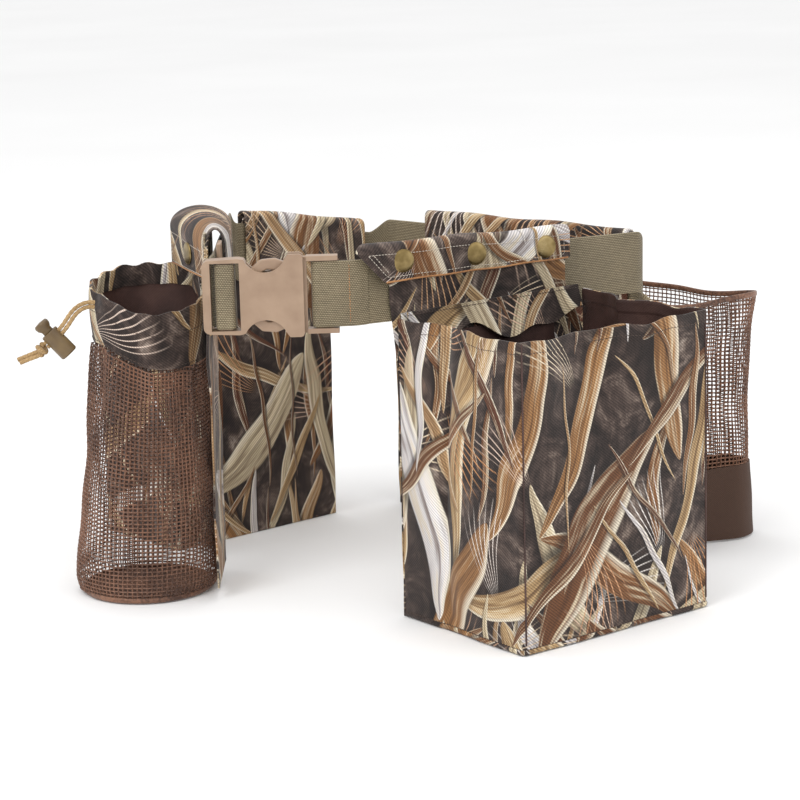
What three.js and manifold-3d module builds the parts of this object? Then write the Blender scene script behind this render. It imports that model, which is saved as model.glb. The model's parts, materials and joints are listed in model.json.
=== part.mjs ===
// Hunting pouch belt: a waist belt of 50 mm webbing with a side-release buckle, and four pouches that hang
// from it by snap-closed fabric loops. Units are millimetres, +Z is up, the buckle faces -Y, and the pouches
// stand on z = 0. Each pouch is built in its own frame: X runs along the belt, -Y points away from the
// wearer, and the middle of its back panel stands at the origin.
import * as THREE from 'three';
import { mergeVertices } from 'three/addons/utils/BufferGeometryUtils.js';
import Module from 'manifold-3d';

const wasm = await Module();
wasm.setup();

// ---------------------------------------------------------------- driving dimensions
const GAP = 0.3;                 // left between neighbouring pieces
const FABRIC = 1.8;              // coated polyester panel, lined
const NET_WALL = 1.6;            // knitted net
const WEBBING = 2.2;             // belt webbing thickness
const WEBBING_WIDTH = 50;        // two-inch webbing
const SEWN_WEBBING = 1.85;       // webbing pressed flat where it wraps a bar
const STRAP = 1.5;               // belt-loop fabric
const SNAP_RADIUS = 8.2;         // snap cap
const SNAP_HEIGHT = 2.2;
const STUD_RADIUS = 5;           // snap stud under the flap
const STUD_HEIGHT = 1.8;

const degrees = (a) => a * Math.PI / 180;

// turn is the direction of the belt's run in degrees; slope is its fall along the run; rise is the fold of the
// loop above the belt's top edge; flapDrop is the flap's length at its two ends.
const FRONT = {
  name: 'front_pouch', centre: [54, -94], turn: 37.8, width: 190, depth: 142, height: 235,
  strapShift: -20, strapWidth: 196, beltTop: 280, slope: -0.04, beltOffset: 2.7, slack: 0.9,
  archRadius: 4.9, rise: 6, flapDrop: [24.5, 19.5], snapDrop: 9.2, snaps: 3,
};
const REAR = {
  name: 'rear_pouch', centre: [-147, 114], turn: 221, width: 176, depth: 105, height: 216,
  strapShift: -60.5, strapWidth: 134, beltTop: 262, slope: 0.17, beltOffset: 2.7, slack: 0.9,
  archRadius: 4.9, rise: 6, flapDrop: [24, 24], snapDrop: 11, snaps: 2,
};
const BAG = {
  name: 'game_bag', centre: [92, 103], turn: 138.9, width: 220, depth: 100, height: 208,
  strapShift: 0, strapWidth: 219, beltTop: 260, slope: 0, beltOffset: 2.7, slack: 0.9,
  archRadius: 4.9, rise: 6, flapDrop: [24, 24], snapDrop: 11, snaps: 2, flare: 42, corner: 26,
};
const BOTTLE = {
  name: 'bottle_pouch', centre: [-169, -50], turn: 270, width: 88, panelFoot: 9,
  strapShift: 0, strapWidth: 84, beltTop: 285, slope: 0, beltOffset: 9, slack: 5,
  archRadius: 15.5, rise: 10.5, flapDrop: [33, 33], snapDrop: 22, snaps: 1,
  netCentre: [0, -56], footRadius: 53, neckRadius: 45, seamHeight: 203, rimHeight: 250,
};

const BUCKLE = {
  centreZ: 258.2, thickness: 13, y: -166.2, slot: 6.4, height: 60,
  left: -166, mouth: -90, windowLeft: -160, windowRight: -138, barLeft: -154, barRight: -144.2, barHalfDepth: 3.2,
  headInner: -97, plugEnd: -64, webSlot: -81.5,
};

// ---------------------------------------------------------------- finishes
const finish = (color, roughness, metalness = 0) =>
  new THREE.MeshStandardMaterial({ color, roughness, metalness });
const FINISH = {
  camo: () => finish(0x6f5b48, 0.85),
  webbing: () => finish(0x8b8468, 0.8),
  net: () => finish(0x5a4236, 0.75),
  lining: () => finish(0x4b3632, 0.8),
  buckle: () => finish(0xb89b82, 0.45),
  brass: () => finish(0xa08a4e, 0.35, 1),
  cord: () => finish(0xb8965e, 0.8),
  toggle: () => finish(0x7d6650, 0.5),
};

const model = new THREE.Group();

// ---------------------------------------------------------------- small helpers
function add(parent, name, geometry, material) {
  const mesh = new THREE.Mesh(geometry, material);
  mesh.name = name;
  parent.add(mesh);
  return mesh;
}

function merged(geometry) {
  const bare = geometry.clone();
  bare.deleteAttribute('normal');
  bare.deleteAttribute('uv');
  return mergeVertices(bare, 1e-4);
}

function solid(geometry) {
  const bare = merged(geometry);
  return new wasm.Manifold(new wasm.Mesh({
    numProp: 3,
    vertProperties: new Float32Array(bare.attributes.position.array),
    triVerts: new Uint32Array(bare.index.array),
  }));
}

function fromSolid(manifold) {
  const mesh = manifold.getMesh();
  const geometry = new THREE.BufferGeometry();
  geometry.setAttribute('position', new THREE.BufferAttribute(new Float32Array(mesh.vertProperties), 3));
  geometry.setIndex(new THREE.BufferAttribute(new Uint32Array(mesh.triVerts), 1));
  return geometry;
}

function cut(geometry, ...tools) {
  return fromSolid(tools.reduce((body, tool) => body.subtract(solid(tool)), solid(geometry)));
}

// A box given by its lowest and highest corners.
function block(low, high) {
  const size = high.map((value, i) => value - low[i]);
  const middle = high.map((value, i) => (value + low[i]) / 2);
  return new THREE.BoxGeometry(...size).translate(...middle);
}

// A flat panel in the XZ plane: its outline is extruded through y from yFront to yBack.
function panel(outline, yFront, yBack) {
  const shape = new THREE.Shape(outline.map(([x, z]) => new THREE.Vector2(x, z)));
  const geometry = new THREE.ExtrudeGeometry(shape, { depth: yBack - yFront, bevelEnabled: false });
  return geometry.rotateX(Math.PI / 2).translate(0, yBack, 0);
}

// A flat slab in the XY plane, from zLow up to zHigh.
function slab(outline, zLow, zHigh) {
  const shape = new THREE.Shape(outline.map(([x, y]) => new THREE.Vector2(x, y)));
  const geometry = new THREE.ExtrudeGeometry(shape, { depth: zHigh - zLow, bevelEnabled: false });
  return geometry.translate(0, 0, zLow);
}

// Moves each vertex of a closed geometry by a rule (x, y, z) -> [x, y, z].
function reshape(geometry, rule) {
  const position = geometry.attributes.position;
  for (let i = 0; i < position.count; i += 1) {
    position.setXYZ(i, ...rule(position.getX(i), position.getY(i), position.getZ(i)));
  }
  position.needsUpdate = true;
  return geometry;
}

// A strip of constant thickness bent along a path. The path is a list of 3-D points; the strip's width runs
// along widthAxis, and its thickness across both.
function strip(points, thickness, width, widthAxis) {
  const steps = points.length - 1;
  const box = new THREE.BoxGeometry(steps, thickness, width, steps, 1, 1).translate(steps / 2, 0, 0);
  const axis = new THREE.Vector3(...widthAxis).normalize();
  const places = points.map((point) => new THREE.Vector3(...point));
  const tangents = places.map((_, i) => places[Math.min(i + 1, steps)].clone()
    .sub(places[Math.max(i - 1, 0)]).normalize());
  const normals = tangents.map((tangent) => axis.clone().cross(tangent).normalize());
  return reshape(box, (x, y, z) => {
    const i = Math.round(x);
    return places[i].clone().addScaledVector(normals[i], y).addScaledVector(axis, z).toArray();
  });
}

// Points of a circular arc in the plane of two unit directions.
function arc(centre, radius, fromAngle, toAngle, steps) {
  return Array.from({ length: steps + 1 }, (_, i) => {
    const angle = fromAngle + (toAngle - fromAngle) * i / steps;
    return [centre[0] + radius * Math.cos(angle), centre[1] + radius * Math.sin(angle)];
  });
}

// A tube along a list of points, with capped ends.
function tube(points, radius, sides, steps) {
  const curve = new THREE.CatmullRomCurve3(points.map((point) => new THREE.Vector3(...point)));
  const ring = new THREE.Shape(arc([0, 0], radius, 0, 2 * Math.PI * (1 - 1 / sides), sides - 1)
    .map(([x, y]) => new THREE.Vector2(x, y)));
  return new THREE.ExtrudeGeometry(ring, { steps, extrudePath: curve, bevelEnabled: false });
}

function lathe(profile, sides) {
  return new THREE.LatheGeometry(profile.map(([r, z]) => new THREE.Vector2(r, z)), sides).rotateX(Math.PI / 2);
}

// ---------------------------------------------------------------- belt lines
const direction = (pouch) => [Math.cos(degrees(pouch.turn)), Math.sin(degrees(pouch.turn))];
const outward = (pouch) => [Math.sin(degrees(pouch.turn)), -Math.cos(degrees(pouch.turn))];

// The point of a pouch's belt line at distance along from the pouch's middle, with the belt's middle height.
function onBelt(pouch, along) {
  const [dx, dy] = direction(pouch);
  const [nx, ny] = outward(pouch);
  const z = pouch.beltTop - WEBBING_WIDTH / 2 + pouch.slope * (along - pouch.strapShift);
  return [
    pouch.centre[0] + dx * along - nx * pouch.beltOffset,
    pouch.centre[1] + dy * along - ny * pouch.beltOffset,
    z,
  ];
}

// Distance along each pouch's belt line at which it meets the next pouch's line.
function meeting(one, other) {
  const [ax, ay] = direction(one);
  const [bx, by] = direction(other);
  const [px, py] = onBelt(one, 0);
  const [qx, qy] = onBelt(other, 0);
  const cross = ax * by - ay * bx;
  return [((qx - px) * by - (qy - py) * bx) / cross, ((qx - px) * ay - (qy - py) * ax) / cross];
}

// A turn of the belt between two straight runs: an arc tangent to both, with its height eased across.
function beltTurn(one, other, radius, steps) {
  const [a, b] = meeting(one, other);
  const sweep = degrees(((other.turn - one.turn) % 360 + 360) % 360);
  const tangent = radius * Math.tan(sweep / 2);
  const start = onBelt(one, a - tangent);
  const end = onBelt(other, b + tangent);
  const [nx, ny] = outward(one);
  const centre = [start[0] - nx * radius, start[1] - ny * radius];
  const from = Math.atan2(start[1] - centre[1], start[0] - centre[0]);
  const plan = arc(centre, radius, from, from + sweep, steps);
  const points = plan.map(([x, y], i) => {
    const t = i / steps;
    return [x, y, start[2] + (end[2] - start[2]) * t * t * (3 - 2 * t)];
  });
  return { points, from: a - tangent, to: b + tangent };
}

const WEB_UP = [0, 0, 1];
const web = (points) => strip(points, WEBBING, WEBBING_WIDTH, WEB_UP);

function straightRun(pouch, from, to) {
  return web([onBelt(pouch, from), onBelt(pouch, to)]);
}

// ---------------------------------------------------------------- belt webbing
const rightTurn = beltTurn(FRONT, BAG, 14, 8);
const rearTurn = beltTurn(BAG, REAR, 14, 8);
const leftTurn = beltTurn(REAR, BOTTLE, 14, 6);
const BELT_FRONT_END = -119;     // where the front run bends toward the buckle
const BELT_LEFT_END = 82;        // where the left run gives way to the lead into the buckle

function buildBelt() {
  add(model, 'belt_front_run', straightRun(FRONT, BELT_FRONT_END, rightTurn.from - GAP), FINISH.webbing());
  add(model, 'belt_right_turn', web(rightTurn.points), FINISH.webbing());
  const rearRun = [onBelt(BAG, rightTurn.to + GAP), ...rearTurn.points];
  add(model, 'belt_rear_right_run', web(rearRun), FINISH.webbing());
  add(model, 'belt_rear_left_run', straightRun(REAR, rearTurn.to + GAP, leftTurn.from - GAP), FINISH.webbing());
  const leftRun = [...leftTurn.points, onBelt(BOTTLE, BELT_LEFT_END)];
  add(model, 'belt_left_run', web(leftRun), FINISH.webbing());

  // The sewn end: the webbing bends out of the front run, wraps round the plug's bar and doubles back on
  // itself to the row of stitches.
  const bendRadius = 20;
  const sweep = degrees(FRONT.turn);
  const start = onBelt(FRONT, BELT_FRONT_END - GAP);
  const [nx, ny] = outward(FRONT);
  const bendCentre = [start[0] - nx * bendRadius, start[1] - ny * bendRadius];
  const bend = arc(bendCentre, bendRadius, -Math.PI / 2 + sweep, -Math.PI / 2, 5);
  const frontY = bend[5][1];
  const wrapRadius = BUCKLE.y - frontY;
  const plan = [
    ...bend,
    [BUCKLE.webSlot + 1, frontY],
    ...arc([BUCKLE.webSlot + 1, BUCKLE.y], wrapRadius, -Math.PI / 2, -Math.PI * 1.5, 8).slice(1),
    [-67, BUCKLE.y + wrapRadius],
    [-62, BUCKLE.y + 0.4],
    [-58, frontY + 2.15],
    [-50, frontY + 2.15],
  ];
  const ease = (x) => Math.min(1, Math.max(0, (x - BUCKLE.plugEnd) / (start[0] - BUCKLE.plugEnd)));
  const points = plan.map(([x, y]) => [x, y, BUCKLE.centreZ + (start[2] - BUCKLE.centreZ) * ease(x)]);
  add(model, 'belt_plug_loop', strip(points, SEWN_WEBBING, WEBBING_WIDTH, WEB_UP), FINISH.webbing());
}

// The adjustable end wraps round the bar of the buckle body; its lead and tail bend when the buckle parts.
function buildAdjuster() {
  const { y, barLeft, barRight, centreZ: z } = BUCKLE;
  const behind = y + 9.5;
  const wrap = [
    [barLeft - 7, behind], [barLeft - 2.6, behind - 3], [barLeft - 1.9, y], [barLeft - 1.6, y - 3.4],
    [barLeft, y - 4.9], [barRight, y - 4.9], [barRight + 1.6, y - 3.4], [barRight + 1.9, y],
    [barRight + 1.9, behind], [barRight + 0.6, behind + 4.2], [barRight - 4, behind + 5.4], [barLeft - 4, behind + 5.4],
  ].map(([px, py]) => [px, py, z]);
  add(model, 'belt_adjuster_wrap', strip(wrap, SEWN_WEBBING, WEBBING_WIDTH - 1, WEB_UP), FINISH.webbing());

  const end = onBelt(BOTTLE, BELT_LEFT_END + GAP);
  const corner = 6;
  const leadY = behind + 0.4;
  const lead = [
    end,
    [end[0] - 1.5, leadY + corner + 6, z + 1],
    ...arc([end[0] - 1.5 + corner, leadY + corner], corner, Math.PI, Math.PI * 1.3, 4)
      .map(([px, py]) => [px, py, z]),
  ];
  add(model, 'belt_buckle_lead', web(lead), FINISH.webbing());
}

// A two-slot keeper that holds the doubled webbing of the left run.
function buildKeeper() {
  const [x, y, z] = onBelt(BOTTLE, BELT_LEFT_END - 22);
  const frame = block([x + 2.2, y - 11, z - 31], [x + 5.4, y + 11, z + 31]);
  const slots = [-5.2, 5.2].map((shift) =>
    block([x, y + shift - 2.6, z - 26], [x + 8, y + shift + 2.6, z + 26]));
  add(model, 'webbing_keeper', cut(frame, ...slots), FINISH.buckle());
}

// ---------------------------------------------------------------- side-release buckle
// The outline of the buckle body, from the bar end to the mouth, with the scallops that show the prongs.
function bodyOutline() {
  const half = BUCKLE.height / 2;
  const { left, mouth } = BUCKLE;
  const scallop = arc([left + 47, half + 5], 17, degrees(204), degrees(336), 10);
  const top = [
    ...arc([left + 5, half - 7], 5, Math.PI, Math.PI / 2, 4),
    [left + 27, half - 1],
    ...scallop,
    [left + 65, half + 1.5],
    ...arc([mouth - 3, half - 1.5], 3, Math.PI / 2, 0, 3),
  ];
  const bottom = top.map(([x, z]) => [x, -z]).reverse();
  return [...top, ...bottom];
}

function buildBuckle() {
  const { y, centreZ: z, thickness, left, mouth, slot, barLeft, barRight, barHalfDepth, headInner } = BUCKLE;
  const webHalf = 25.8;
  const far = 20;
  const body = panel(bodyOutline(), y - thickness / 2, y + thickness / 2).translate(0, 0, z);
  const cavity = block([left + 33, y - slot / 2, z - 60], [mouth + 10, y + slot / 2, z + 60]);
  const slots = [[BUCKLE.windowLeft, barLeft], [barRight, BUCKLE.windowRight]]
    .map(([a, b]) => block([a, y - far, z - webHalf], [b, y + far, z + webHalf]));
  const barFront = block([barLeft - 1, y - far, z - webHalf], [barRight + 1, y - barHalfDepth, z + webHalf]);
  const barBack = block([barLeft - 1, y + barHalfDepth, z - webHalf], [barRight + 1, y + far, z + webHalf]);
  add(model, 'buckle_body', cut(body, cavity, ...slots, barFront, barBack), FINISH.buckle());

  // The plug: a head inside the mouth, two arms that carry the webbing bar, and a centre tongue that guides
  // it into the body.
  const inside = slot / 2 - GAP;
  const head = solid(block([headInner, y - inside, z - 29], [mouth + 2.5, y + inside, z + 29]));
  const arms = solid(block([mouth + 2.2, y - 5, z - 29.5], [BUCKLE.plugEnd, y + 5, z + 29.5]))
    .subtract(solid(block([mouth - 5, y - far, z - webHalf], [BUCKLE.plugEnd + 5, y + far, z + webHalf])));
  const barHalf = 1.6;
  const bar = solid(block([BUCKLE.webSlot, y - barHalf, z - webHalf - 1], [BUCKLE.plugEnd - 4, y + barHalf, z + webHalf + 1]));
  const tongue = solid(block([left + 40, y - inside, z - 4], [headInner + 1, y + inside, z + 4]));
  add(model, 'buckle_plug', fromSolid(head.add(arms).add(bar).add(tongue)), FINISH.buckle());

  // Two prongs spring outward from the head; their shoulders fill the scallops.
  const root = headInner - 1;
  for (const [side, label] of [[1, 'upper'], [-1, 'lower']]) {
    const outline = [
      [root, 17], [root, 25], [root - 8, 26], [root - 13, 28.2], [root - 24, 27.2], [root - 32, 20],
      [root - 28, 15], [root - 19, 20], [root - 8, 18],
    ].map(([px, pz]) => [px, pz * side]);
    const points = side > 0 ? outline : outline.reverse();
    add(model, `buckle_prong_${label}`, panel(points, y - inside, y + inside).translate(0, 0, z), FINISH.buckle());
  }
}

// ---------------------------------------------------------------- what every pouch shares
function pouchGroup(pouch) {
  const group = new THREE.Group();
  group.position.set(...pouch.centre, 0);
  group.rotation.z = degrees(pouch.turn);
  model.add(group);
  return group;
}

// Slopes a piece along the belt, so that the loop follows the belt's fall.
const sloped = (pouch, geometry) =>
  reshape(geometry, (x, y, z) => [x, y, z + pouch.slope * (x - pouch.strapShift)]);

const hingeHeight = (pouch) => pouch.beltTop + pouch.rise;
const innerLegY = (pouch) => pouch.beltOffset + WEBBING / 2 + pouch.slack + STRAP / 2;
const flapY = (pouch) => innerLegY(pouch) - 2 * pouch.archRadius;
const loopX = (pouch) => [pouch.strapShift - pouch.strapWidth / 2, pouch.strapShift + pouch.strapWidth / 2];

// The loop: an inner leg behind the belt that arches over the top, the flap hinged to it in front of the
// panel, and the snaps that close it.
function buildLoop(group, pouch) {
  const [x0, x1] = loopX(pouch);
  const innerY = innerLegY(pouch);
  const frontY = flapY(pouch);
  const top = hingeHeight(pouch);
  const foot = pouch.beltTop - WEBBING_WIDTH - 7;
  const sewnY = FABRIC / 2 + GAP + STRAP / 2;
  const over = arc([(innerY + frontY) / 2, top], pouch.archRadius, 0, degrees(163), 9);
  const path = [[sewnY, foot - 14], [sewnY, foot - 5], [innerY, foot + 3], [innerY, top - 2], ...over]
    .map(([y, z]) => [0, y, z]);
  const strap = strip(path, STRAP, pouch.strapWidth, [1, 0, 0]).translate(pouch.strapShift, 0, 0);
  add(group, `${pouch.name}_belt_loop`, sloped(pouch, strap), FINISH.camo());

  const flapTop = top - 0.6;
  const outline = [[x0, top - pouch.flapDrop[0]], [x1, top - pouch.flapDrop[1]], [x1, flapTop], [x0, flapTop]];
  const flap = panel(outline, frontY - STRAP / 2, frontY + STRAP / 2);
  add(group, `${pouch.name}_flap`, sloped(pouch, flap), FINISH.camo());

  const spacing = pouch.strapWidth / pouch.snaps;
  const snapZ = top - pouch.snapDrop;
  for (let i = 0; i < pouch.snaps; i += 1) {
    const x = x0 + spacing * (i + 0.5) + (pouch.snaps === 3 ? (i - 1) * 6 : 0);
    const z = snapZ + pouch.slope * (x - pouch.strapShift);
    const label = pouch.snaps > 1 ? `_${i + 1}` : '';
    const cap = lathe([
      [0, 0], [SNAP_RADIUS - 0.8, 0], [SNAP_RADIUS, 0.8], [SNAP_RADIUS * 0.8, 1.7], [SNAP_RADIUS * 0.4, SNAP_HEIGHT],
      [0, SNAP_HEIGHT],
    ], 20).rotateX(Math.PI / 2).translate(x, frontY - STRAP / 2 - GAP, z);
    add(group, `${pouch.name}_snap_cap${label}`, cap, FINISH.brass());
    const stud = lathe([[0, 0], [STUD_RADIUS, 0], [STUD_RADIUS, 0.5], [2.4, STUD_HEIGHT], [0, STUD_HEIGHT]], 16)
      .rotateX(Math.PI / 2).translate(x, frontY + STRAP / 2 + GAP + STUD_HEIGHT, z);
    add(group, `${pouch.name}_snap_stud${label}`, stud, FINISH.brass());
  }
}

// The back panel stands behind the whole pouch and carries on up between the belt and the flap.
function backPanel(pouch, foot, shoulder) {
  const half = pouch.width / 2;
  const [x0, x1] = loopX(pouch);
  const at = (x, z) => [x, z + pouch.slope * (x - pouch.strapShift)];
  const neck = pouch.beltTop - WEBBING_WIDTH + 16;
  const top = hingeHeight(pouch) - 1;
  const outline = [
    [-half, foot], [half, foot], [half, shoulder],
    at(x1 - 2, neck), at(x1 - 2, top), at(x0 + 2, top), at(x0 + 2, neck),
    [-half, shoulder],
  ];
  return panel(outline, -FABRIC / 2, FABRIC / 2);
}

// ---------------------------------------------------------------- box pouches
function buildBoxPouch(pouch, withPocket) {
  const group = pouchGroup(pouch);
  const { name, width, depth, height } = pouch;
  const half = width / 2;
  const wallFoot = FABRIC + GAP;
  const back = -FABRIC / 2 - GAP;
  add(group, `${name}_back_panel`, backPanel(pouch, 0, Math.min(height - 22, 200)), FINISH.camo());
  add(group, `${name}_base`, block([-half, -depth, 0], [half, back, FABRIC]), FINISH.camo());
  add(group, `${name}_front_panel`,
    block([-half, -depth, wallFoot], [half, -depth + FABRIC, height]), FINISH.camo());
  for (const [side, label] of [[-1, 'left'], [1, 'right']]) {
    const x = side * (half - FABRIC / 2);
    const wall = block([x - FABRIC / 2, -depth + FABRIC + GAP, wallFoot], [x + FABRIC / 2, back, height]);
    add(group, `${name}_${label}_gusset`, wall, FINISH.camo());
  }
  if (withPocket) {
    const pocketHalf = 62;
    add(group, `${name}_inner_pocket`,
      block([-pocketHalf, back - 1.2, 118], [pocketHalf, back, height - 16]), FINISH.lining());
  }
  buildLoop(group, pouch);
}

// ---------------------------------------------------------------- net game bag
function buildGameBag() {
  const group = pouchGroup(BAG);
  const { name, width, depth, height, flare, corner } = BAG;
  const half = width / 2;
  const back = -FABRIC / 2 - GAP;
  add(group, `${name}_back_panel`, backPanel(BAG, 0, height - 6), FINISH.camo());

  // One net wall runs round the three free sides in plan, flaring outward from the panel's edges.
  const wide = half + flare;
  const lean = Math.atan2(flare, depth);
  const rightCorner = arc([wide - corner, -depth + corner], corner, lean, -Math.PI / 2, 6);
  const leftCorner = rightCorner.map(([x, y]) => [-x, y]).reverse();
  const inset = 1.2;
  const plan = [[half - inset, back - inset], ...rightCorner, ...leftCorner, [-half + inset, back - inset]];
  const wallFoot = NET_WALL + GAP;
  const middle = (wallFoot + height) / 2;
  const path = plan.map(([x, y]) => [x, y, middle]);
  add(group, `${name}_net`, strip(path, NET_WALL, height - wallFoot, WEB_UP), FINISH.net());
  const floor = plan.map(([x, y]) => [x * 0.995, y - 0.2]).reverse();
  add(group, `${name}_base`, slab(floor, 0, NET_WALL), FINISH.net());
  buildLoop(group, BAG);
}

// ---------------------------------------------------------------- net bottle pouch
const SIDES = 28;

function ringWall(outer, inner, zLow, zHigh, rows) {
  const up = Array.from({ length: rows + 1 }, (_, i) => i / rows);
  const outerSide = up.map((t) => [outer(t), zLow + (zHigh - zLow) * t]);
  const innerSide = up.map((t) => [inner(t), zLow + (zHigh - zLow) * t]).reverse();
  const profile = [...outerSide, ...innerSide, outerSide[0]];
  return lathe(profile, SIDES);
}

function buildBottlePouch() {
  const group = pouchGroup(BOTTLE);
  const { name, netCentre, footRadius, neckRadius, seamHeight, rimHeight } = BOTTLE;
  add(group, `${name}_back_panel`, backPanel(BOTTLE, BOTTLE.panelFoot, 215), FINISH.camo());

  // The seam falls toward the buckle side and the rim rises to the rear, as the drawstring lets them hang.
  const seamLean = (x, y) => -0.05 * x + 0.1 * (-y);
  const rimLean = (x, y) => -0.23 * x + 0.02 * (-y);
  const net = reshape(
    ringWall((t) => footRadius + (neckRadius - footRadius) * t * t * (3 - 2 * t),
      (t) => footRadius - NET_WALL + (neckRadius - footRadius) * t * t * (3 - 2 * t),
      NET_WALL + GAP, seamHeight, 8),
    (x, y, z) => [x, y, z + seamLean(x, y) * Math.max(0, z - 10) / (seamHeight - 10)],
  ).translate(...netCentre, 0);
  add(group, `${name}_net`, net, FINISH.net());
  const base = lathe([[0, 0], [footRadius - 0.4, 0], [footRadius - 0.4, NET_WALL], [0, NET_WALL]], SIDES)
    .translate(...netCentre, 0);
  add(group, `${name}_base`, base, FINISH.net());

  const collarFoot = seamHeight + GAP;
  const collar = reshape(
    ringWall(() => neckRadius + 0.4, () => neckRadius + 0.4 - FABRIC, collarFoot, rimHeight, 3),
    (x, y, z) => {
      const t = (z - collarFoot) / (rimHeight - collarFoot);
      return [x, y, z + seamLean(x, y) * (1 - t) + rimLean(x, y) * t];
    },
  ).translate(...netCentre, 0);
  add(group, `${name}_collar`, collar, FINISH.camo());
  buildLoop(group, BOTTLE);
}

// ---------------------------------------------------------------- drawstring and cord lock
// Two strands of the drawstring leave the collar side by side, pass through the cord lock and end in a knot.
const STRAND = 3.4;
const STRAND_PITCH = 3.7;
const CORD_ROUTE = [
  [-257.4, -85.4, 240.4], [-260.4, -86.2, 240.8], [-263.4, -86.9, 240.6], [-266.4, -87.6, 239.8],
  [-269.2, -88.2, 238.4], [-271.8, -88.7, 236.5], [-274.2, -89.1, 234.1], [-276.3, -89.4, 231.4],
  [-278.3, -89.7, 228.5], [-280.4, -89.9, 225.6], [-282.7, -90.0, 222.8], [-285.3, -90.0, 219.9],
  [-288.1, -90.0, 217.2], [-290.9, -90.0, 214.7], [-293.7, -90.0, 212.2], [-296.5, -90.0, 209.7],
];

function buildDrawstring() {
  const places = CORD_ROUTE.map((point) => new THREE.Vector3(...point));
  const end = places[places.length - 1];
  const along = end.clone().sub(places[places.length - 4]).normalize();
  const sideways = new THREE.Vector3(0, 1, 0);
  [['lower', 1], ['upper', -1]].forEach(([label, side]) => {
    const route = places.map((place, i) => {
      const ahead = places[Math.min(i + 1, places.length - 1)];
      const behind = places[Math.max(i - 1, 0)];
      const offset = sideways.clone().cross(ahead.clone().sub(behind).normalize());
      return place.clone().addScaledVector(offset, -side * STRAND_PITCH / 2).toArray();
    });
    add(model, `drawstring_${label}_strand`, tube(route, STRAND / 2, 8, 20), FINISH.cord());
  });

  // The knot draws both strands together and lets their cut ends stand out as a short flat tail.
  const facing = new THREE.Quaternion().setFromUnitVectors(new THREE.Vector3(0, 0, 1), along);
  const place = (geometry, at) => geometry.applyQuaternion(facing).translate(at.x, at.y, at.z);
  const knotShape = lathe([[0, 0], [4, 0.5], [5.8, 3], [5.8, 7], [4, 9.6], [0, 10.2]], 16);
  const knotAt = end.clone().addScaledVector(along, GAP + 0.3);
  const knot = solid(place(knotShape, knotAt));
  const tailTurn = new THREE.Matrix4().makeRotationY(degrees(-30));
  const tail = solid(new THREE.BoxGeometry(19, 4, 7).applyMatrix4(tailTurn)
    .translate(knotAt.x - 14, knotAt.y, knotAt.z - 8.4));
  add(model, 'drawstring_knot', fromSolid(knot.add(tail)), FINISH.cord());

  // The cord lock lies across the cord: its barrel is bored through for both strands, and its spring button
  // stands out of the upper end.
  const bored = end.clone().addScaledVector(along, -9);
  const across = sideways.clone().cross(along).normalize();
  const middle = bored.clone().addScaledVector(across, -5.5);
  const turned = new THREE.Quaternion().setFromUnitVectors(new THREE.Vector3(0, 0, 1), across);
  const lay = (geometry) => geometry.applyQuaternion(turned).translate(middle.x, middle.y, middle.z);
  const barrel = lay(lathe([[0, -12], [6.4, -12], [7.4, -11], [7.4, 11], [6.8, 11.6], [0, 11.6]], 24));
  const boreHeight = STRAND + STRAND_PITCH + 1.4;
  const pocket = lay(lathe([[0, 5.5 + boreHeight / 2 - 2], [5, 5.5 + boreHeight / 2 - 2], [5, 14], [0, 14]], 20));
  const bore = place(new THREE.BoxGeometry(boreHeight, STRAND + 1.4, 40), bored);
  add(model, 'cord_lock_barrel', cut(barrel, pocket, bore), FINISH.toggle());
  const button = lay(lathe([[0, 11.4], [4.4, 11.4], [4.4, 14.6], [6, 17], [6.4, 20], [5.4, 21.6], [0, 22.2]], 20));
  add(model, 'cord_lock_button', button, FINISH.toggle());
}

// ---------------------------------------------------------------- assembly
buildBelt();
buildAdjuster();
buildKeeper();
buildBuckle();
buildBoxPouch(FRONT, true);
buildBoxPouch(REAR, false);
buildGameBag();
buildBottlePouch();
buildDrawstring();

// The origin is the middle of the footprint, without the drawstring.
const FOOTPRINT_MIDDLE = [-10.07, 1.96];
model.position.set(-FOOTPRINT_MIDDLE[0], -FOOTPRINT_MIDDLE[1], 0);

export default model;
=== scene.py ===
"""Looks of a hunting pouch belt: webbing, buckle, cloth, net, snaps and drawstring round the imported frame.

Lengths in the shape code are millimetres in a pouch's own frame (X along the belt, -Y away from the wearer,
Z up) and are turned to metres in the row frame by one function.
"""
import json
import math

import bmesh
import bpy
import numpy as np
from mathutils import Euler, Matrix, Vector


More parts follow.
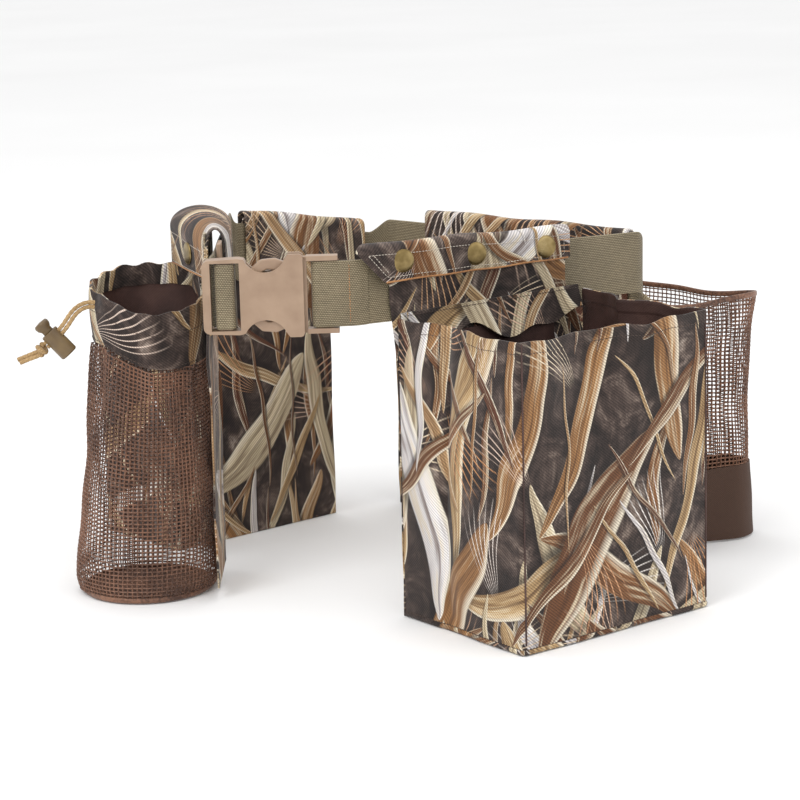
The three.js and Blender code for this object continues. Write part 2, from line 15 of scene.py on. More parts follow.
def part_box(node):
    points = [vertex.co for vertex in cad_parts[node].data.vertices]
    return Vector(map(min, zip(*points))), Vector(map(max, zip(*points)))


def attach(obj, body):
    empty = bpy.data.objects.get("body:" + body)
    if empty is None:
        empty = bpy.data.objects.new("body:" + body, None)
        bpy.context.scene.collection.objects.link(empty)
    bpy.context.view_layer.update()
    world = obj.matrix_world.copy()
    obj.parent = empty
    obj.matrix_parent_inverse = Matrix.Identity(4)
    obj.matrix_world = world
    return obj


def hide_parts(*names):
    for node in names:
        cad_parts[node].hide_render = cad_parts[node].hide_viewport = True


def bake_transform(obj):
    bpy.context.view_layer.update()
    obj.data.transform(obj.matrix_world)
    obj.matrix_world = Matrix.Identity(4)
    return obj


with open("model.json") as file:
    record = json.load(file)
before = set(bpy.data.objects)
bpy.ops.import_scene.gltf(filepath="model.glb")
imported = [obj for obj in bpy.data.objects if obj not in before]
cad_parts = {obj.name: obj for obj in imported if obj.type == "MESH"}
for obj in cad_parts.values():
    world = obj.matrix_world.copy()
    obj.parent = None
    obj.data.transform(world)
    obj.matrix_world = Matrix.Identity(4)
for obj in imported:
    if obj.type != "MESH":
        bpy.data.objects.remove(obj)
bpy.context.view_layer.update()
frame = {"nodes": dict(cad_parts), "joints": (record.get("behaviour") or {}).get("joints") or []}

bl_info = {
    "name": "Hunting pouch belt",
    "version": (1, 0, 0),
    "blender": (4, 5, 0),
    "location": "View3D > Sidebar > Pouch belt",
    "description": "Builds the looks of a webbing belt with box pouches and net bags",
    "category": "Object",
}

MM = 0.001
TAU = 2 * math.pi


# ---------------------------------------------------------------- mesh making
def make_mesh(name, vertices, faces, materials, uv=None, slots=None, sharp=45):
    """A mesh object at the origin. faces is a list of index arrays, one array for each count of corners;
    uv is given for each vertex in metres of cloth; slots is the material number of each face."""
    mesh = bpy.data.meshes.new(name)
    vertices = np.asarray(vertices, np.float32).reshape(-1, 3)
    loops = np.concatenate([np.asarray(part, np.int32).ravel() for part in faces])
    sizes = np.concatenate([np.full(len(part), np.shape(part)[1]) for part in faces])
    mesh.vertices.add(len(vertices))
    mesh.vertices.foreach_set("co", vertices.ravel())
    mesh.loops.add(len(loops))
    mesh.loops.foreach_set("vertex_index", loops)
    mesh.polygons.add(len(sizes))
    mesh.polygons.foreach_set("loop_start", (np.cumsum(sizes) - sizes).astype(np.int32))
    mesh.polygons.foreach_set("use_smooth", np.ones(len(sizes), bool))
    if slots is not None:
        mesh.polygons.foreach_set("material_index", np.asarray(slots, np.int32))
    mesh.update(calc_edges=True)
    if uv is not None:
        layer = mesh.uv_layers.new(name="cloth")
        layer.data.foreach_set("uv", np.asarray(uv, np.float32).reshape(-1, 2)[loops].ravel())
    mesh.validate()
    mesh.set_sharp_from_angle(angle=math.radians(sharp))
    for material in materials:
        mesh.materials.append(material)
    piece = bpy.data.objects.new(name, mesh)
    bpy.context.scene.collection.objects.link(piece)
    return piece


def unit(vectors):
    """Each vector divided by its length."""
    return vectors / np.maximum(np.linalg.norm(vectors, axis=-1, keepdims=True), 1e-12)


def surface_normals(points, ring=False):
    """The unit normal of a grid of points: the cross product of its steps along both indexes."""
    if ring:
        along = np.roll(points, -1, 0) - np.roll(points, 1, 0)
    else:
        along = np.gradient(points, axis=0)
    return unit(np.cross(along, np.gradient(points, axis=1)))


def quads(rows, columns, ring=False):
    """Corner numbers of every square of a grid, counter-clockwise seen along minus its normal."""
    index = np.arange(rows * columns).reshape(rows, columns)
    if ring:
        index = np.vstack([index, index[:1]])
    return np.stack([index[:-1, :-1], index[1:, :-1], index[1:, 1:], index[:-1, 1:]], -1).reshape(-1, 4)


def shell(name, points, thickness, materials, uv=None, ring=False, place=None, sharp=45):
    """A closed sheet of cloth: the grid of middle points moved half the thickness both ways along its normal,
    with a strip round its edges. Its outer skin has the first material and its inner skin the last."""
    rows, columns = points.shape[:2]
    normals = surface_normals(points, ring)
    half = np.broadcast_to(np.asarray(thickness, float) / 2, (rows, columns))[..., None]
    vertices = np.concatenate([points + normals * half, points - normals * half]).reshape(-1, 3)
    if place:
        vertices = place(vertices)
    count = rows * columns
    outer = quads(rows, columns, ring)
    inner = outer[:, ::-1] + count
    index = np.arange(count).reshape(rows, columns)
    if ring:
        index = np.vstack([index, index[:1]])
    borders = [(index[:, 0], False), (index[:, -1], True)]
    if not ring:
        borders += [(index[0], True), (index[-1], False)]
    edges = []
    for line, flip in borders:
        strip = np.stack([line[:-1], line[:-1] + count, line[1:] + count, line[1:]], -1)
        edges.append(strip[:, ::-1] if flip else strip)
    edges = np.concatenate(edges)
    last = len(materials) - 1
    slots = np.concatenate([np.zeros(len(outer)), np.full(len(inner), last), np.zeros(len(edges))])
    if uv is None:
        uv = arc_uv(points)
    uv = np.concatenate([uv.reshape(-1, 2), uv.reshape(-1, 2)])
    return make_mesh(name, vertices, [np.concatenate([outer, inner, edges])], materials, uv, slots, sharp)


def arc_uv(points, shift=(0, 0)):
    """Cloth coordinates in metres: the mean length along each index of the grid, from its first row."""
    along = np.linalg.norm(np.diff(points, axis=0), axis=-1).mean(1)
    across = np.linalg.norm(np.diff(points, axis=1), axis=-1).mean(0)
    u = np.concatenate([[0], np.cumsum(along)])[:, None] + np.zeros(len(across) + 1)
    v = np.concatenate([[0], np.cumsum(across)])[None, :] + np.zeros((len(along) + 1, 1))
    return np.stack([u, v], -1) * MM + np.array(shift)


def tubes(paths, normals, radius, sides=4, closed=False, phase=0.0, relief=None):
    """Vertices and faces of round tubes along many paths at once. paths and normals are (tubes, steps, 3);
    each ring lies across its path, starting at the normal. relief multiplies the radius at each step and
    side."""
    if closed:
        forward = np.roll(paths, -1, 1) - np.roll(paths, 1, 1)
    else:
        forward = np.gradient(paths, axis=1)
    forward = unit(forward)
    side = unit(np.cross(forward, normals))
    up = np.cross(side, forward)
    turn = phase + np.arange(sides) * TAU / sides
    ring = np.cos(turn)[:, None] * up[:, :, None] + np.sin(turn)[:, None] * side[:, :, None]
    size = np.asarray(radius, float)
    size = size if size.ndim == 0 else size[..., None, None]
    if relief is not None:
        size = size * relief[None, :, :, None]
    vertices = paths[:, :, None] + ring * size
    count, steps = paths.shape[:2]
    index = np.arange(count * steps * sides).reshape(count, steps, sides)
    if closed:
        index = np.concatenate([index, index[:, :1]], 1)
    around = np.roll(index, -1, 2)
    faces = [np.stack([around[:, :-1], around[:, 1:], index[:, 1:], index[:, :-1]], -1).reshape(-1, 4)]
    if not closed:
        fans = np.arange(1, sides - 1)
        first, last = index[:, 0], index[:, -1]
        for ends, flip in ((first, True), (last, False)):
            fan = np.stack([np.repeat(ends[:, :1], len(fans), 1), ends[:, fans], ends[:, fans + 1]], -1)
            faces.append((fan[..., ::-1] if flip else fan).reshape(-1, 3))
    return vertices.reshape(-1, 3), faces


def join(parts):
    """One list of vertices and faces from several."""
    vertices, faces, offset = [], [], 0
    for points, groups in parts:
        vertices.append(points)
        faces.extend(np.asarray(group) + offset for group in groups)
        offset += len(points)
    return np.concatenate(vertices), faces


def lathe(profile, sides, centre, axis):
    """A profile of (radius, height) turned about an axis through centre, closed at both ends on the axis."""
    profile = np.asarray(profile, float)
    axis = unit(np.asarray(axis, float))
    seed = np.array([0, 0, 1.0]) if abs(axis[2]) < 0.9 else np.array([1.0, 0, 0])
    side = unit(np.cross(seed, axis))
    other = np.cross(axis, side)
    turn = np.arange(sides) * TAU / sides
    ring = np.cos(turn)[:, None] * side + np.sin(turn)[:, None] * other
    points = np.asarray(centre) + profile[None, 1:-1, :1] * ring[:, None] + profile[None, 1:-1, 1:] * axis
    rows, columns = points.shape[:2]
    ends = np.asarray(centre) + profile[[0, -1], 1:] * axis
    vertices = np.concatenate([points.reshape(-1, 3), ends])
    index = np.arange(rows * columns).reshape(rows, columns)
    ahead = np.roll(index, -1, 0)
    low = np.stack([ahead[:, 0], index[:, 0], np.full(rows, rows * columns)], -1)
    high = np.stack([index[:, -1], ahead[:, -1], np.full(rows, rows * columns + 1)], -1)
    return vertices, [quads(rows, columns, True), low, high]


def smooth_path(points, spacing):
    """A Catmull-Rom curve through the points, taken at equal steps of about the given spacing."""
    points = np.asarray(points, float)
    padded = np.vstack([2 * points[0] - points[1], points, 2 * points[-1] - points[-2]])
    t = np.linspace(0, 1, 24, endpoint=False)[:, None]
    a, b, c, d = (padded[i:len(padded) - 3 + i][:, None] for i in range(4))
    square, cube = 2 * a - 5 * b + 4 * c - d, 3 * b - a - 3 * c + d
    curve = 0.5 * (2 * b + (c - a) * t + square * t ** 2 + cube * t ** 3)
    return evenly(np.vstack([curve.reshape(-1, points.shape[1]), points[-1:]]), spacing)


def evenly(points, spacing):
    """A polyline taken again at equal steps along its length."""
    step = np.linalg.norm(np.diff(points, axis=0), axis=1)
    length = np.concatenate([[0], np.cumsum(step)])
    count = max(2, int(round(length[-1] / spacing)) + 1)
    wanted = np.linspace(0, length[-1], count)
    return np.stack([np.interp(wanted, length, column) for column in points.T], -1)


def waves(x, y, seed, size, height):
    """Soft unevenness: five sine waves of about the given size, each with its own direction and phase."""
    draw = np.random.default_rng(seed)
    total = 0
    for _ in range(5):
        angle, phase, scale = draw.uniform(0, TAU), draw.uniform(0, TAU), draw.uniform(0.6, 1.5)
        total = total + np.sin(TAU * (x * math.cos(angle) + y * math.sin(angle)) / (size * scale) + phase)
    return total * height / 2.5


def bump_at(x, centre, width):
    """A bell curve of height 1 about centre."""
    return np.exp(-((x - centre) / width) ** 2)


def ease(x, low, high):
    """0 below low, 1 above high, and a smooth step between."""
    t = np.clip((x - low) / (high - low), 0, 1)
    return t * t * (3 - 2 * t)


# ---------------------------------------------------------------- the pouches' own frames
WEB_WIDTH = 50.0


class Pouch:
    """Where a pouch stands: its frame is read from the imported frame's joints and nodes."""

    def __init__(self, name, belt_offset, rise):
        joint = {j["name"]: j for j in frame["joints"]}
        x, y, z = joint[f"{name}_slide"]["axis"]
        flat = math.hypot(x, y)
        self.name = name
        self.along = np.array([x / flat, y / flat, 0])
        self.inward = np.array([-y / flat, x / flat, 0])
        self.slope = z / flat
        self.origin = np.zeros(3)
        base = self.local_box(f"{name}_base")
        back = self.local_box(f"{name}_back_panel")
        middle_x = self.along * (base[0, 0] + base[1, 0]) / 2
        self.origin = (middle_x + self.inward * (back[0, 1] + back[1, 1]) / 2) * MM
        hinge = self.to_local(joint[f"{name}_flap_open"]["pos_m"])
        self.shift, self.front_y, self.top = hinge
        loop = self.local_box(f"{name}_belt_loop")
        self.x0, self.x1 = loop[0, 0], loop[1, 0]
        self.belt_offset = belt_offset
        self.rise = rise
        self.belt_top = self.top - rise

    def to_local(self, points):
        """Metres in the row frame to local millimetres."""
        points = np.asarray(points, float) - self.origin
        return np.stack([points @ self.along, points @ self.inward, points[..., 2]], -1) / MM

    def local_box(self, node):
        """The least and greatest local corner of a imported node."""
        mesh = frame["nodes"][node].data
        points = np.empty(len(mesh.vertices) * 3)
        mesh.vertices.foreach_get("co", points)
        local = self.to_local(points.reshape(-1, 3))
        return np.array([local.min(0), local.max(0)])

    def place(self, points):
        """Local millimetres to metres in the row frame."""
        points = np.asarray(points, float) * MM
        flat = points[..., :1] * self.along + points[..., 1:2] * self.inward
        return self.origin + flat + points[..., 2:] * [0, 0, 1]

    def climb(self, x):
        """How far the belt line has risen at x."""
        return self.slope * (x - self.shift)

    def on_belt(self, x):
        """The belt's middle line at x, in local millimetres."""
        return np.array([x, self.belt_offset, self.belt_top - WEB_WIDTH / 2 + self.climb(x)])


FRONT = Pouch("front_pouch", 2.7, 6)
REAR = Pouch("rear_pouch", 2.7, 6)
BAG = Pouch("game_bag", 2.7, 6)
BOTTLE = Pouch("bottle_pouch", 9, 10.5)
POUCHES = (FRONT, REAR, BAG, BOTTLE)


# ---------------------------------------------------------------- colours and node trees
def linear(code, alpha=1.0):
    """A colour's hex code in sRGB, as linear red, green, blue and alpha."""
    parts = [int(code[i:i + 2], 16) / 255 for i in (1, 3, 5)]
    return tuple(c / 12.92 if c <= 0.04045 else ((c + 0.055) / 1.055) ** 2.4 for c in parts) + (alpha,)


def add(tree, kind, inputs=None, stops=(), mode="LINEAR", **settings):
    """Adds a node, applies its settings, and links or sets each named or numbered input. stops are a colour
    ramp's places and hex colours, and mode is the way it goes between them."""
    made = tree.nodes.new(kind if kind.startswith("Node") else "ShaderNode" + kind)
    for name, value in settings.items():
        setattr(made, name, value)
    for key, value in (inputs or {}).items():
        if isinstance(value, bpy.types.Node):
            value = value.outputs[0]
        if isinstance(value, bpy.types.NodeSocket):
            tree.links.new(value, made.inputs[key])
        else:
            made.inputs[key].default_value = value
    if stops:
        made.color_ramp.interpolation = mode
        while len(made.color_ramp.elements) < len(stops):
            made.color_ramp.elements.new(0.5)
        for point, (place, code) in zip(made.color_ramp.elements, stops):
            point.position = place
            point.color = linear(code)
    return made


def new_material(name):
    """An empty node material and its tree."""
    material = bpy.data.materials.new(name)
    material.use_nodes = True
    material.node_tree.nodes.clear()
    return material, material.node_tree


def dress(tree, inputs):
    """Ends a material: its shader with the given values and links."""
    surface = add(tree, "BsdfPrincipled", inputs)
    add(tree, "OutputMaterial", {"Surface": surface})


def new_group(name, inputs):
    """A node group with a colour output, and its input and output nodes."""
    tree = bpy.data.node_groups.new(name, "ShaderNodeTree")
    for label, kind in inputs:
        tree.interface.new_socket(label, in_out="INPUT", socket_type="NodeSocket" + kind)
    tree.interface.new_socket("Colour", in_out="OUTPUT", socket_type="NodeSocketColor")
    return tree, add(tree, "NodeGroupInput").outputs


LAYER_INPUTS = (("Under", "Color"), ("Cloth", "Vector"), ("Turn", "Float"), ("Length", "Float"),
                ("Width", "Float"), ("Share", "Float"), ("Seed", "Float"))


def cell_nodes(tree, given, warp):
    """Brick cells in turned, bent cloth: returns the place across the cell from -0.5 to 0.5, the place
    along it from 0 to 1, and three random numbers of the cell."""
    drift = add(tree, "TexNoise", {"Vector": given["Cloth"], "W": given["Seed"], "Scale": 11, "Detail": 1},
                noise_dimensions="4D")
    centred = add(tree, "VectorMath", {0: drift.outputs["Color"], 1: (0.5, 0.5, 0.5)}, operation="SUBTRACT")
    moved = add(tree, "VectorMath", {0: centred, 1: (warp, warp, 0), 2: given["Cloth"]},
                operation="MULTIPLY_ADD")
    turned = add(tree, "VectorRotate", {"Vector": moved, "Angle": given["Turn"]}, rotation_type="Z_AXIS")
    place = add(tree, "SeparateXYZ", {0: turned}).outputs
    across = add(tree, "Math", {0: place["X"], 1: given["Width"]}, operation="DIVIDE")
    column = add(tree, "Math", {0: across}, operation="FLOOR")
    side = add(tree, "Math", {0: across}, operation="FRACT")
    side = add(tree, "Math", {0: side, 1: 0.5}, operation="SUBTRACT")
    key = add(tree, "CombineXYZ", {"X": column, "Y": given["Seed"]})
    slide = add(tree, "TexWhiteNoise", {"Vector": key}, noise_dimensions="3D").outputs["Value"]
    rows = add(tree, "Math", {0: place["Y"], 1: given["Length"]}, operation="DIVIDE")
    rows = add(tree, "Math", {0: slide, 1: 7.0, 2: rows}, operation="MULTIPLY_ADD")
    row = add(tree, "Math", {0: rows}, operation="FLOOR")
    along = add(tree, "Math", {0: rows}, operation="FRACT")
    key = add(tree, "CombineXYZ", {"X": column, "Y": row, "Z": given["Seed"]})
    dice = add(tree, "TexWhiteNoise", {"Vector": key}, noise_dimensions="3D").outputs["Color"]
    dice = add(tree, "SeparateColor", {0: dice}).outputs
    return side, along, dice


def reed_layer():
    """One layer of the print: long bent reed blades, each tapered at both ends, with a pale rim, a dark
    midrib, streaks along it and a soft shadow beside it, laid over the colour underneath."""
    tree, given = new_group("reed blade layer", LAYER_INPUTS)
    side, along, dice = cell_nodes(tree, given, 0.035)
    red, green, blue = dice["Red"], dice["Green"], dice["Blue"]
    half_way = add(tree, "Math", {0: along, 1: 0.5}, operation="SUBTRACT")
    lean = add(tree, "Math", {0: green, 1: 0.5}, operation="SUBTRACT")
    lean = add(tree, "Math", {0: lean, 1: half_way}, operation="MULTIPLY")
    curve = add(tree, "Math", {0: blue, 1: 0.5}, operation="SUBTRACT")
    curve = add(tree, "Math", {0: curve, 1: half_way}, operation="MULTIPLY")
    curve = add(tree, "Math", {0: curve, 1: half_way}, operation="MULTIPLY")
    middle = add(tree, "Math", {0: lean, 1: 0.75, 2: side}, operation="MULTIPLY_ADD")
    middle = add(tree, "Math", {0: curve, 1: 2.0, 2: middle}, operation="MULTIPLY_ADD")
    arch = add(tree, "Math", {0: along, 1: math.pi}, operation="MULTIPLY")
    arch = add(tree, "Math", {0: arch}, operation="SINE")
    taper = add(tree, "Math", {0: arch, 1: 0.6}, operation="POWER")
    broad = add(tree, "Math", {0: red, 1: 17.0}, operation="MULTIPLY")
    broad = add(tree, "Math", {0: broad}, operation="FRACT")
    broad = add(tree, "Math", {0: broad, 1: 0.2, 2: 0.07}, operation="MULTIPLY_ADD")
    half = add(tree, "Math", {0: broad, 1: taper}, operation="MULTIPLY")
    ratio = add(tree, "Math", {0: middle, 1: half}, operation="DIVIDE")
    outward = add(tree, "Math", {0: ratio}, operation="ABSOLUTE")
    present = add(tree, "Math", {0: red, 1: given["Share"]}, operation="LESS_THAN")
    mask = add(tree, "MapRange", {"Value": outward, 1: 0.94, 2: 1.02, 3: 1.0, 4: 0.0})
    mask = add(tree, "Math", {0: mask, 1: present}, operation="MULTIPLY")
    wide = add(tree, "Math", {0: half, 1: 0.05}, operation="ADD")
    beside = add(tree, "Math", {0: middle, 1: 0.045}, operation="ADD")
    beside = add(tree, "Math", {0: beside, 1: wide}, operation="DIVIDE")
    beside = add(tree, "Math", {0: beside}, operation="ABSOLUTE")
    shadow = add(tree, "MapRange", {"Value": beside, 1: 0.8, 2: 1.15, 3: 0.7, 4: 0.0})
    shadow = add(tree, "Math", {0: shadow, 1: present}, operation="MULTIPLY")
    shadow = add(tree, "Math", {0: shadow, 1: taper}, operation="MULTIPLY")
    tint = add(tree, "Math", {0: green, 1: 13.0}, operation="MULTIPLY")
    tint = add(tree, "Math", {0: tint}, operation="FRACT")
    blade = add(tree, "ValToRGB", {"Fac": tint},
                stops=((0, "#DCCBA9"), (0.16, "#F0ECEC"), (0.27, "#C3A274"), (0.38, "#A87A4C"),
                       (0.52, "#8C5E38"), (0.66, "#744A2D"), (0.78, "#C09A6E"), (0.88, "#5C3020")),
                mode="CONSTANT")
    grain = add(tree, "CombineXYZ", {"X": ratio, "Y": along, "Z": tint})
    grain = add(tree, "VectorMath", {0: grain, 1: (1.5, 1.1, 40.0)}, operation="MULTIPLY")
    grain = add(tree, "TexNoise", {"Vector": grain, "Scale": 2.2, "Detail": 4, "Roughness": 0.6})
    deep = add(tree, "MapRange", {"Value": grain, 1: 0.38, 2: 0.52, 3: 0.6, 4: 0.0})
    pale = add(tree, "MapRange", {"Value": grain, 1: 0.52, 2: 0.66, 3: 0.0, 4: 0.75})
    colour = add(tree, "MixRGB", {"Fac": deep, "Color1": blade, "Color2": linear("#5B3A22")})
    colour = add(tree, "MixRGB", {"Fac": pale, "Color1": colour, "Color2": linear("#EEDDBD")})
    lit = add(tree, "MapRange", {"Value": ratio, 1: -1.0, 2: 0.6, 3: 0.35, 4: 0.0})
    colour = add(tree, "MixRGB", {"Fac": lit, "Color1": colour, "Color2": linear("#4A2F1E")})
    rim = add(tree, "MapRange", {"Value": ratio, 1: 0.6, 2: 0.9, 3: 0.0, 4: 0.8})
    colour = add(tree, "MixRGB", {"Fac": rim, "Color1": colour, "Color2": linear("#F2E8D2")})
    rib = add(tree, "MapRange", {"Value": outward, 1: 0.03, 2: 0.12, 3: 0.45, 4: 0.0})
    colour = add(tree, "MixRGB", {"Fac": rib, "Color1": colour, "Color2": linear("#4A2F1E")})
    under = add(tree, "MixRGB", {"Fac": shadow, "Color1": given["Under"], "Color2": linear("#1C1412")})
    colour = add(tree, "MixRGB", {"Fac": mask, "Color1": under, "Color2": colour})
    add(tree, "NodeGroupOutput", {"Colour": colour})
    return tree


def plume_layer():
    """One layer of seed heads: in each cell, fine pale lines fan out from a stem and bend farther out."""
    tree, given = new_group("seed plume layer", LAYER_INPUTS)
    side, along, dice = cell_nodes(tree, given, 0.02)
    wide = add(tree, "Math", {0: side, 1: given["Width"]}, operation="MULTIPLY")
    far = add(tree, "Math", {0: along, 1: given["Length"]}, operation="MULTIPLY")
    spread = add(tree, "Math", {0: wide, 1: far}, operation="ARCTAN2")
    bend = add(tree, "Math", {0: dice["Blue"], 1: 0.5}, operation="SUBTRACT")
    bend = add(tree, "Math", {0: bend, 1: along}, operation="MULTIPLY")
    spread = add(tree, "Math", {0: bend, 1: 0.9, 2: spread}, operation="MULTIPLY_ADD")
    lines = add(tree, "Math", {0: spread, 1: 62.0}, operation="MULTIPLY")
    lines = add(tree, "Math", {0: lines}, operation="SINE")
    fine = add(tree, "MapRange", {"Value": lines, 1: 0.72, 2: 0.95, 3: 0.0, 4: 1.0})
    angle = add(tree, "Math", {0: spread}, operation="ABSOLUTE")
    fan = add(tree, "MapRange", {"Value": angle, 1: 0.3, 2: 0.42, 3: 1.0, 4: 0.0})
    start = add(tree, "MapRange", {"Value": along, 1: 0.1, 2: 0.2, 3: 0.0, 4: 1.0})
    stop = add(tree, "MapRange", {"Value": along, 1: 0.62, 2: 0.9, 3: 1.0, 4: 0.0})
    present = add(tree, "Math", {0: dice["Red"], 1: given["Share"]}, operation="LESS_THAN")
    for part in (fan, start, stop, present):
        fine = add(tree, "Math", {0: fine, 1: part}, operation="MULTIPLY")
    tint = add(tree, "ValToRGB", {"Fac": dice["Green"]},
               stops=((0, "#E9DCC2"), (0.5, "#C98F5E"), (1, "#F1ECE6")))
    colour = add(tree, "MixRGB", {"Fac": fine, "Color1": given["Under"], "Color2": tint})
    add(tree, "NodeGroupOutput", {"Colour": colour})
    return tree


def twill_height(tree, cloth, pitch, share):
    """The weave's relief from 0 to 1: diagonal ridges at the pitch given in metres, crossed by finer ones."""
    along = add(tree, "VectorMath", {0: cloth, 1: (TAU / pitch * 0.64, TAU / pitch * 0.77, 0)},
                operation="DOT_PRODUCT")
    across = add(tree, "VectorMath", {0: cloth, 1: (TAU / pitch * 1.3, -TAU / pitch * 1.1, 0)},
                 operation="DOT_PRODUCT")
    ridge = add(tree, "Math", {0: along.outputs["Value"]}, operation="SINE")
    cross = add(tree, "Math", {0: across.outputs["Value"]}, operation="SINE")
    return add(tree, "Math", {0: cross, 1: share, 2: ridge}, operation="MULTIPLY_ADD")


# Turn in degrees, length and width in millimetres, share of cells with a blade, seed; back layer first.
REEDS = ((8, 110, 24, 0.3, 1), (-24, 150, 40, 0.4, 2), (62, 150, 56, 0.34, 3), (16, 190, 60, 0.36, 4),
         (-50, 160, 74, 0.3, 5), (33, 200, 84, 0.34, 6), (-10, 190, 90, 0.36, 7), (-33, 120, 20, 0.26, 8),
         (47, 160, 30, 0.22, 9), (4, 140, 18, 0.24, 10))
PLUMES = ((70, 90, 80, 0.4, 21), (-30, 80, 76, 0.4, 22), (150, 100, 84, 0.35, 23))


def camo_cloth(look):
    """Printed polyester twill with a reed-bed print: matt cloth, a faint sheen, and diagonal weave ridges."""
    material, tree = new_material("printed polyester twill")
    cloth = add(tree, "UVMap", uv_map="cloth").outputs["UV"]
    mud = add(tree, "TexNoise",
              {"Vector": cloth, "Scale": 27, "Detail": 7, "Roughness": 0.66, "Distortion": 1.2})
    ground = add(tree, "ValToRGB", {"Fac": mud},
                 stops=((0.32, "#1D1614"), (0.45, "#352A26"), (0.54, "#4E403A"), (0.62, "#7A6A60"),
                        (0.7, "#A39488")))
    stretched = add(tree, "VectorMath", {0: cloth, 1: (260, 34, 0)}, operation="MULTIPLY")
    bark = add(tree, "TexNoise", {"Vector": stretched, "Scale": 1, "Detail": 3, "Roughness": 0.7})
    bark = add(tree, "MapRange", {"Value": bark, 1: 0.5, 2: 0.66, 3: 0.0, 4: 0.45})
    colour = add(tree, "MixRGB", {"Fac": bark, "Color1": ground, "Color2": linear("#2A201D")})
    reeds, plumes = reed_layer(), plume_layer()
    order = [(reeds, row) for row in REEDS]
    order[3:3] = [(plumes, PLUMES[0])]
    order[7:7] = [(plumes, PLUMES[1])]
    order.append((plumes, PLUMES[2]))
    for group, (turn, length, width, share, seed) in order:
        place = {"Under": colour, "Cloth": cloth, "Turn": math.radians(turn), "Length": length * MM,
                 "Width": width * MM, "Share": share, "Seed": seed}
        colour = add(tree, "Group", place, node_tree=group)
    # The real weave is finer than the render can show, so it is drawn at the pitch that reads as twill.
    weave = twill_height(tree, cloth, look.weave_pitch, 0.35)
    # Painted shade and highlight: the weave's relief darkens the colour in its grooves and lightens it on its
    # ridges.
    painted_weave_shade = add(tree, "MapRange", {"Value": weave, 1: -1.2, 2: 1.2, 3: 0.52, 4: 1.16})
    colour = add(tree, "MixRGB", {"Fac": 1.0, "Color1": colour, "Color2": painted_weave_shade}, blend_type="MULTIPLY")
    bump = add(tree, "Bump", {"Height": weave, "Strength": 0.35, "Distance": 0.0002})
    dress(tree, {"Base Color": colour, "Roughness": 0.78, "Specular IOR Level": 0.3, "Sheen Weight": 0.12,
                 "Sheen Roughness": 0.5, "Normal": bump})
    return material


def coated_lining(look):
    """Brown polyester coated on one side: smooth, dull, with a slight gloss on its creases."""
    material, tree = new_material("coated brown lining")
    cloth = add(tree, "UVMap", uv_map="cloth").outputs["UV"]
    cloud = add(tree, "TexNoise", {"Vector": cloth, "Scale": 30, "Detail": 4})
    colour = add(tree, "ValToRGB", {"Fac": cloud},
                 stops=((0.3, "#34231F"), (0.55, "#4B3530"), (0.8, "#5F463F")))
    weave = twill_height(tree, cloth, look.weave_pitch * 0.8, 0.8)
    # Painted shade and highlight: the weave's relief darkens the lining's colour in its grooves and lightens
    # it on its ridges.
    painted_weave_shade = add(tree, "MapRange", {"Value": weave, 1: -1.6, 2: 1.6, 3: 0.82, 4: 1.08})
    colour = add(tree, "MixRGB", {"Fac": 1.0, "Color1": colour, "Color2": painted_weave_shade}, blend_type="MULTIPLY")
    rough = add(tree, "MapRange", {"Value": cloud, 1: 0.3, 2: 0.8, 3: 0.5, 4: 0.7})
    bump = add(tree, "Bump", {"Height": weave, "Strength": 0.2, "Distance": 0.0002})
    dress(tree, {"Base Color": colour, "Roughness": rough, "Specular IOR Level": 0.35, "Normal": bump})
    return material


def khaki_webbing(look):
    """Woven nylon webbing: ribs run along it, and each rib's yarns cross over at a steady beat."""
    material, tree = new_material("woven nylon webbing")
    cloth = add(tree, "UVMap", uv_map="cloth").outputs["UV"]
    place = add(tree, "SeparateXYZ", {0: cloth}).outputs
    rib = add(tree, "Math", {0: place["Y"], 1: look.rib_pitch}, operation="DIVIDE")
    odd = add(tree, "Math", {0: rib}, operation="FLOOR")
    wave = add(tree, "Math", {0: rib, 1: math.pi}, operation="MULTIPLY")
    wave = add(tree, "Math", {0: wave}, operation="SINE")
    wave = add(tree, "Math", {0: wave}, operation="ABSOLUTE")
    beat = add(tree, "Math", {0: place["X"], 1: TAU / (look.rib_pitch * 1.3)}, operation="MULTIPLY")
    beat = add(tree, "Math", {0: odd, 1: math.pi, 2: beat}, operation="MULTIPLY_ADD")
    beat = add(tree, "Math", {0: beat}, operation="SINE")
    beat = add(tree, "MapRange", {"Value": beat, 1: -1.0, 2: 0.6, 3: 0.45, 4: 1.0})
    height = add(tree, "Math", {0: wave, 1: beat}, operation="MULTIPLY")
    yarn = add(tree, "TexNoise", {"Vector": cloth, "Scale": 260, "Detail": 3})
    # Painted shade and highlight: the ribs' height picks the colour, dark between the ribs and pale on their
    # tops, with yarn noise mixed in.
    tint = add(tree, "Math", {0: yarn, 1: 0.35, 2: height}, operation="MULTIPLY_ADD")
    colour = add(tree, "ValToRGB", {"Fac": tint},
                 stops=((0.15, "#362F22"), (0.5, "#675B46"), (0.85, "#867A60"), (1.0, "#9D9075")))
    wear = add(tree, "TexNoise", {"Vector": cloth, "Scale": 22, "Detail": 2})
    wear = add(tree, "MapRange", {"Value": wear, 1: 0.35, 2: 0.7, 3: 0.88, 4: 1.1})
    colour = add(tree, "MixRGB", {"Fac": 1.0, "Color1": colour, "Color2": wear}, blend_type="MULTIPLY")
    bump = add(tree, "Bump", {"Height": height, "Strength": 0.7, "Distance": 0.0004})
    dress(tree, {"Base Color": colour, "Roughness": 0.62, "Specular IOR Level": 0.35, "Sheen Weight": 0.2,
                 "Sheen Roughness": 0.4, "Normal": bump})
    return material


